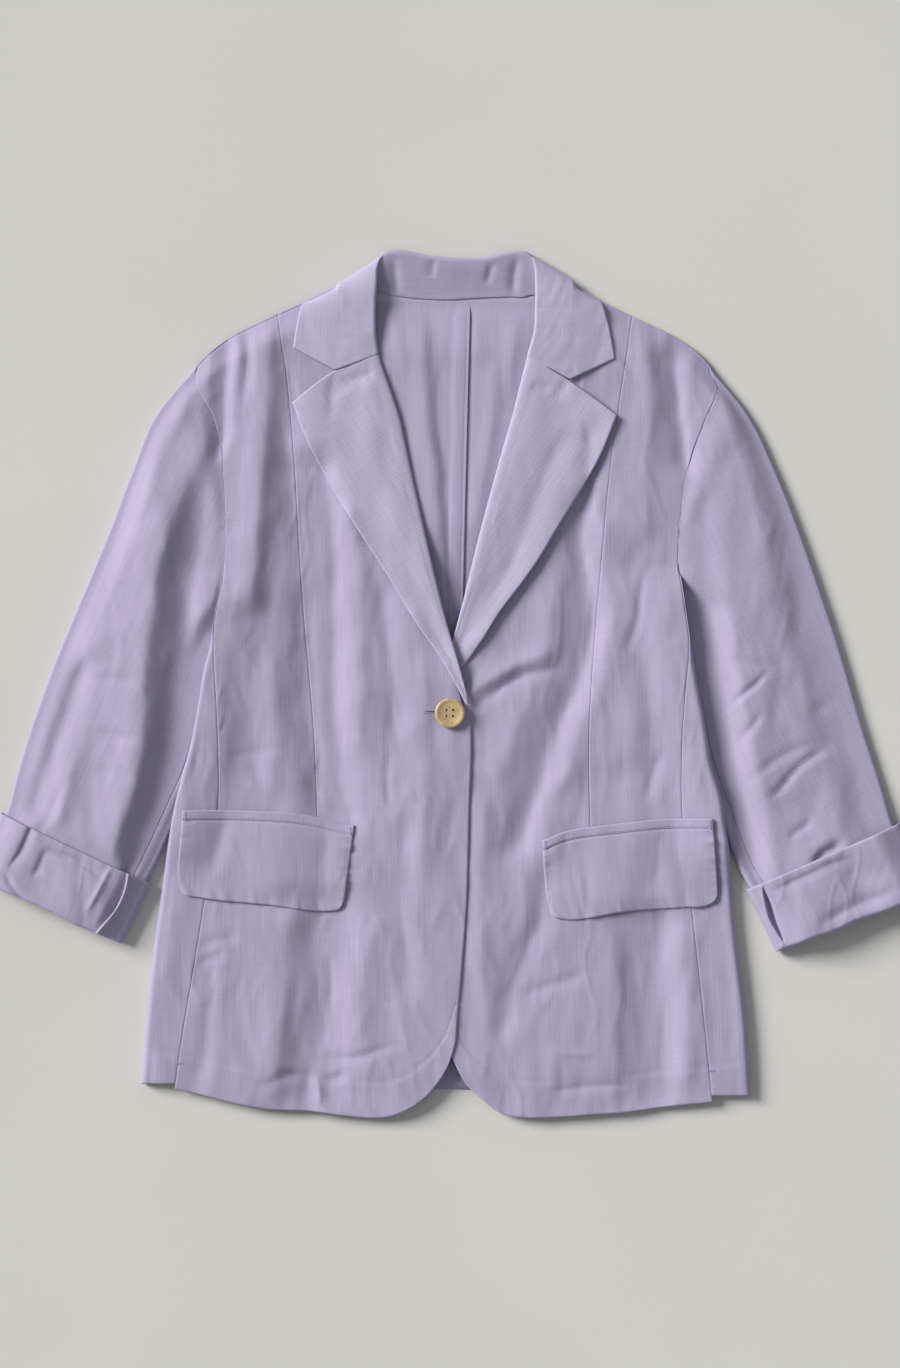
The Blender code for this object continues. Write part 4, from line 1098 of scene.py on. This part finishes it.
# ---- Button and buttonhole ------------------------------------------------------------------
# One turned button of pale horn, sewn through four holes with lilac thread. The buttonhole is a
# short slit, bound with close stitches of the same thread, and runs in from under the button.

BUTTON_PLACE = (0.0, -24.0)
# Half section of the button from its foot round the rim to the dished middle: (radius, height).
BUTTON_PROFILE = [(9.6, 0.0), (11.6, 0.45), (12.3, 1.2), (12.5, 1.9), (12.35, 2.7), (11.8, 3.35),
                  (11.0, 3.6), (10.1, 3.5), (9.0, 3.05), (7.6, 2.72), (5.0, 2.6), (2.5, 2.56),
                  (0.4, 2.55)]
HOLE_RADIUS = 1.1
HOLE_PITCH = 5.0
DISH = 2.4              # height of the dished middle, on which the thread lies
THREAD = 0.28           # radius of the sewing thread
STITCH_PITCH = 0.62     # from stitch to stitch along the buttonhole
SLIT = (-21.5, 6.0)     # ends of the buttonhole along X
SLIT_Y = -23.0


def drifting_tone():
    """Soft clouds between a dark and a light tone, as in horn, thread and paint."""
    group = bpy.data.node_groups.new("drifting_tone", "ShaderNodeTree")
    for name in ("Scale", "Detail", "From", "To"):
        group.interface.new_socket(name, in_out="INPUT", socket_type="NodeSocketFloat")
    for name in ("Dark", "Light"):
        group.interface.new_socket(name, in_out="INPUT", socket_type="NodeSocketColor")
    group.interface.new_socket("Colour", in_out="OUTPUT", socket_type="NodeSocketColor")
    given = group.nodes.new("NodeGroupInput").outputs
    place = node(group, "ShaderNodeTexCoord").outputs["Object"]
    cloud = node(group, "ShaderNodeTexNoise", {"Vector": place, "Scale": given["Scale"],
                                               "Detail": given["Detail"]})
    share = node(group, "ShaderNodeMapRange", {0: cloud.outputs[0], 1: given["From"],
                                               2: given["To"]})
    tone = node(group, "ShaderNodeMix", {0: share.outputs[0], 6: given["Dark"],
                                         7: given["Light"]}, data_type="RGBA")
    result = group.nodes.new("NodeGroupOutput")
    group.links.new(tone.outputs[2], result.inputs["Colour"])


def toned(tree, scale, detail, start, end, dark, light):
    """The drifting tone with a finish's own values."""
    placed = node(tree, "ShaderNodeGroup", node_tree=bpy.data.node_groups["drifting_tone"])
    values = {"Scale": scale, "Detail": detail, "From": start, "To": end, "Dark": dark, "Light": light}
    for name, value in values.items():
        placed.inputs[name].default_value = value
    return placed.outputs["Colour"]


def horn():
    """Pale horn with warm clouds and a few rusty flecks."""
    material, tree, shader = new_finish("pale_horn")
    body = toned(tree, 190.0, 4.0, 0.3, 0.68, (0.39, 0.28, 0.12, 1), (0.53, 0.42, 0.22, 1))
    place = node(tree, "ShaderNodeTexCoord").outputs["Object"]
    flecks = node(tree, "ShaderNodeTexNoise", {"Vector": place, "Scale": 330.0, "Detail": 1.0})
    rust = node(tree, "ShaderNodeMapRange", {0: flecks.outputs[0], 1: 0.66, 2: 0.72, 3: 0.0,
                                             4: 0.75})
    mixed = node(tree, "ShaderNodeMix", {0: rust.outputs[0], 6: body, 7: (0.34, 0.12, 0.03, 1)},
                 data_type="RGBA")
    tree.links.new(mixed.outputs[2], shader.inputs["Base Color"])
    shader.inputs["Roughness"].default_value = 0.34
    shader.inputs["Coat Weight"].default_value = 0.2
    return material


def revolve(name, profile, turns, place, material):
    """A turned solid from (radius, height) rows, closed at its axis."""
    points = [(0.0, 0.0, profile[0][1])]
    for radius, height in profile:
        for k in range(turns):
            angle = 2 * math.pi * k / turns
            points.append((radius * math.cos(angle), radius * math.sin(angle), height))
    points.append((0.0, 0.0, profile[-1][1]))
    faces = [(0, 1 + (k + 1) % turns, 1 + k) for k in range(turns)]
    for ring in range(len(profile) - 1):
        for k in range(turns):
            a, b = 1 + ring * turns + k, 1 + ring * turns + (k + 1) % turns
            faces.append((a, b, b + turns, a + turns))
    last = 1 + (len(profile) - 1) * turns
    faces += [(len(points) - 1, last + k, last + (k + 1) % turns) for k in range(turns)]
    solid = add_mesh(name, points, faces, material)
    solid.location = [c * MM for c in place]
    return solid


def threads(name, runs, radius, material):
    """Short stitches as one mesh. Each run is a pair of ends; its middle stands a little higher."""
    points, faces = [], []
    sides = 6
    for start, end in runs:
        start, end = np.array(start, dtype=float), np.array(end, dtype=float)
        along = (end - start) / np.linalg.norm(end - start)
        side = np.cross(along, (0, 0, 1))
        side = side / np.linalg.norm(side)
        up = np.cross(side, along)
        base = len(points)
        for share, size, lift in ((0, 0.35, -0.5), (0.15, 0.9, 0), (0.5, 1, 0.35), (0.85, 0.9, 0),
                                  (1, 0.35, -0.5)):
            centre = lerp(start, end, share) + up * lift * radius
            for k in range(sides):
                angle = 2 * math.pi * k / sides
                spoke = side * math.cos(angle) + up * math.sin(angle)
                points.append(centre + radius * size * spoke)
        for ring in range(4):
            for k in range(sides):
                a, b = base + ring * sides + k, base + ring * sides + (k + 1) % sides
                faces.append((a, a + sides, b + sides, b))
        faces.append([base + k for k in range(sides)])
        faces.append([base + 4 * sides + k for k in reversed(range(sides))])
    piece = add_mesh(name, points, faces, material)
    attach(piece, "root")


def thread_finish():
    """Twisted polyester thread, a shade darker than the linen."""
    material, tree, shader = new_finish("lilac_thread")
    twist = toned(tree, 2600.0, 2.0, 0.0, 1.0, (0.36, 0.31, 0.53, 1), (0.52, 0.46, 0.70, 1))
    tree.links.new(twist, shader.inputs["Base Color"])
    shader.inputs["Roughness"].default_value = 0.6
    return material


drifting_tone()
THREAD_FINISH = thread_finish()
HORN = horn()
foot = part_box("button")[0][2] / MM
button = revolve("horn_button", BUTTON_PROFILE, 72, (*BUTTON_PLACE, foot), HORN)
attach(button, "root")
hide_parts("button")
holes = [(sx * HOLE_PITCH / 2, sy * HOLE_PITCH / 2) for sx in (-1, 1) for sy in (-1, 1)]
for k, (dx, dy) in enumerate(holes):
    drill = revolve(f"drill_{k}", [(HOLE_RADIUS, -3.0), (HOLE_RADIUS, 6.0)], 20,
                    (BUTTON_PLACE[0] + dx, BUTTON_PLACE[1] + dy, foot), HORN)
    cut = button.modifiers.new(f"hole_{k}", "BOOLEAN")
    cut.object = drill
    cut.operation = "DIFFERENCE"
bpy.context.view_layer.update()
depsgraph = bpy.context.evaluated_depsgraph_get()
drilled = bpy.data.meshes.new_from_object(button.evaluated_get(depsgraph))
button.modifiers.clear()
button.data = drilled
drilled.set_sharp_from_angle(angle=math.radians(40))
for k in range(len(holes)):
    bpy.data.objects.remove(bpy.data.objects[f"drill_{k}"])

top = foot + DISH
runs = []
for dy in (-0.5, 0.5):
    for lean in (-0.35, 0.0, 0.35):
        y = BUTTON_PLACE[1] + dy * HOLE_PITCH + lean
        runs.append(((BUTTON_PLACE[0] - HOLE_PITCH / 2, y, top - 0.5),
                     (BUTTON_PLACE[0] + HOLE_PITCH / 2, y, top - 0.5)))
for dx, dy in holes:
    for lean in (-0.35, 0.35):
        x, y = BUTTON_PLACE[0] + dx + lean, BUTTON_PLACE[1] + dy
        runs.append(((x, y, top - 0.3), (x + 0.05, y, foot - 1.2)))
threads("button_thread", runs, THREAD, THREAD_FINISH)

runs = []
for x in np.arange(SLIT[0], SLIT[1], STITCH_PITCH):
    for dy in (-1, 1):
        inner, outer = SLIT_Y + dy * 0.25, SLIT_Y + dy * 1.7
        ends = [(x, v, float(front_surface("right", x, v)) + 0.05) for v in (inner, outer)]
        runs.append(ends)
for v in np.arange(-1.5, 1.6, 0.6):
    ends = [(u, SLIT_Y + v, float(front_surface("right", u, SLIT_Y + v)) + 0.1)
            for u in (SLIT[0] - 1.3, SLIT[0] - 0.1)]
    runs.append(ends)
threads("buttonhole_binding", runs, 0.2, THREAD_FINISH)

# A near-black strip along the slit is painted shadow: it stands for the shaded gap, not for any cloth.
inside = linen("painted_slit_shadow", (0.075, 0.060, 0.095, 1.0))
ends = [(u, SLIT_Y, float(front_surface("right", u, SLIT_Y)) - 0.1)
        for u in (SLIT[0], SLIT[0] + 9.5)]
threads("buttonhole_slit_painted_shadow", [ends], 0.42, inside)


# ---- Stitching ------------------------------------------------------------------------------
# Rows of machine stitches in polyester thread hold the welts and the turnings of the centre
# back, and bars of close stitches strengthen the ends of the pockets and the side seams.

WELT_STITCH = 6.2       # distance of the welt's stitching from its top edge
HEM_BAR = {"right": (-225.0, -314.0), "left": (215.0, -320.0)}


def stitch_row(path, height, length=2.5, gap=0.7):
    """Stitches along a list of (x, y) points, lying on a surface given as a function."""
    path = np.array(path, dtype=float)
    run = np.concatenate([[0], np.cumsum(np.hypot(*np.diff(path, axis=0).T))])
    runs = []
    for start in np.arange(0.4, run[-1] - length, length + gap):
        ends = []
        for place in (start, start + length):
            x, y = np.interp(place, run, path[:, 0]), np.interp(place, run, path[:, 1])
            ends.append((x, y, float(height(x, y)) + 0.08))
        runs.append(ends)
    return runs


def bar(x, y, height, depth=7.0, width=1.6, turn=0.0):
    """A bar tack: close stitches side by side across a short line."""
    runs = []
    c, s = math.cos(turn), math.sin(turn)
    for v in np.arange(-depth / 2, depth / 2, 0.55):
        ends = []
        for u in (-width / 2, width / 2):
            px, py = x + c * u - s * v, y + s * u + c * v
            ends.append((px, py, float(height(px, py)) + 0.15))
        runs.append(ends)
    return runs


for side, sign in SIDES.items():
    left, right = FLAP_SIDES[side]
    start, end = read(left, -112) + 2, read(right, -120) - 2
    xs = np.linspace(start, end, 30)

    def on_flap(x, y):
        return flap_height(side, x, y) + 0.24

    runs = stitch_row([(x, float(read(POCKET_LINE[side], x)) - WELT_STITCH) for x in xs], on_flap)
    for x in (start + 1.2, end - 1.2):
        runs += bar(x, float(read(POCKET_LINE[side], x)) - 5, on_flap)
    runs += bar(*HEM_BAR[side], lambda x, y: front_surface(side, x, y), 1.8, 9.0)
    threads(f"{side}_pocket_stitching", runs, 0.15, THREAD_FINISH)

runs = []
for inset in STITCH_ROWS:
    path = [(float(read(CENTRE_BACK, y)) - inset, y) for y in np.linspace(312, 40, 60)]
    runs += stitch_row(path, lambda x, y: back_face("right", x, y) + CLOTH)
threads("centre_back_stitching", runs, 0.17, THREAD_FINISH)


# ---- Table, light and camera ----------------------------------------------------------------
# A pale warm-grey table top of painted board, wide enough for every view. One large soft light
# comes low from the upper left, and the camera looks straight down.

VIEW_LENGTH = 1135.4    # what the camera sees of the table, from top to bottom
SENSOR = 36.0
CAMERA_HEIGHT = 3200.0


def table_finish():
    """Painted board, very slightly uneven in tone."""
    material, tree, shader = new_finish("table_paint")
    tone = toned(tree, 2.2, 3.0, 0.3, 0.7, (0.600, 0.592, 0.560, 1), (0.625, 0.617, 0.585, 1))
    tree.links.new(tone, shader.inputs["Base Color"])
    shader.inputs["Roughness"].default_value = 0.8
    shader.inputs["Specular IOR Level"].default_value = 0.2
    return material


bpy.ops.mesh.primitive_plane_add(size=9.0, location=(0, 0, -0.0002))
table = bpy.context.object
table.name = "table"
table.data.materials.append(table_finish())

world = bpy.data.worlds.new("room")
world.use_nodes = True
sky = world.node_tree.nodes["Background"]
sky.inputs["Color"].default_value = (0.92, 0.95, 1.0, 1)
sky.inputs["Strength"].default_value = 0.33
bpy.context.scene.world = world

key = bpy.data.objects.new("key_light", bpy.data.lights.new("key_light", "SUN"))
key.data.energy = 4.6
key.data.angle = math.radians(25)
key.data.color = (1.0, 0.985, 0.955)
key.rotation_euler = mathutils.Vector((0.88, -0.46, -0.53)).to_track_quat("-Z", "Y").to_euler()
bpy.context.scene.collection.objects.link(key)

camera = bpy.data.objects.new("camera", bpy.data.cameras.new("camera"))
camera.data.sensor_fit = "VERTICAL"
camera.data.sensor_height = SENSOR
camera.data.lens = SENSOR * CAMERA_HEIGHT / VIEW_LENGTH
camera.location = (0, 0, CAMERA_HEIGHT * MM)
bpy.context.scene.collection.objects.link(camera)
bpy.context.scene.camera = camera
bpy.context.scene.view_settings.view_transform = "Standard"
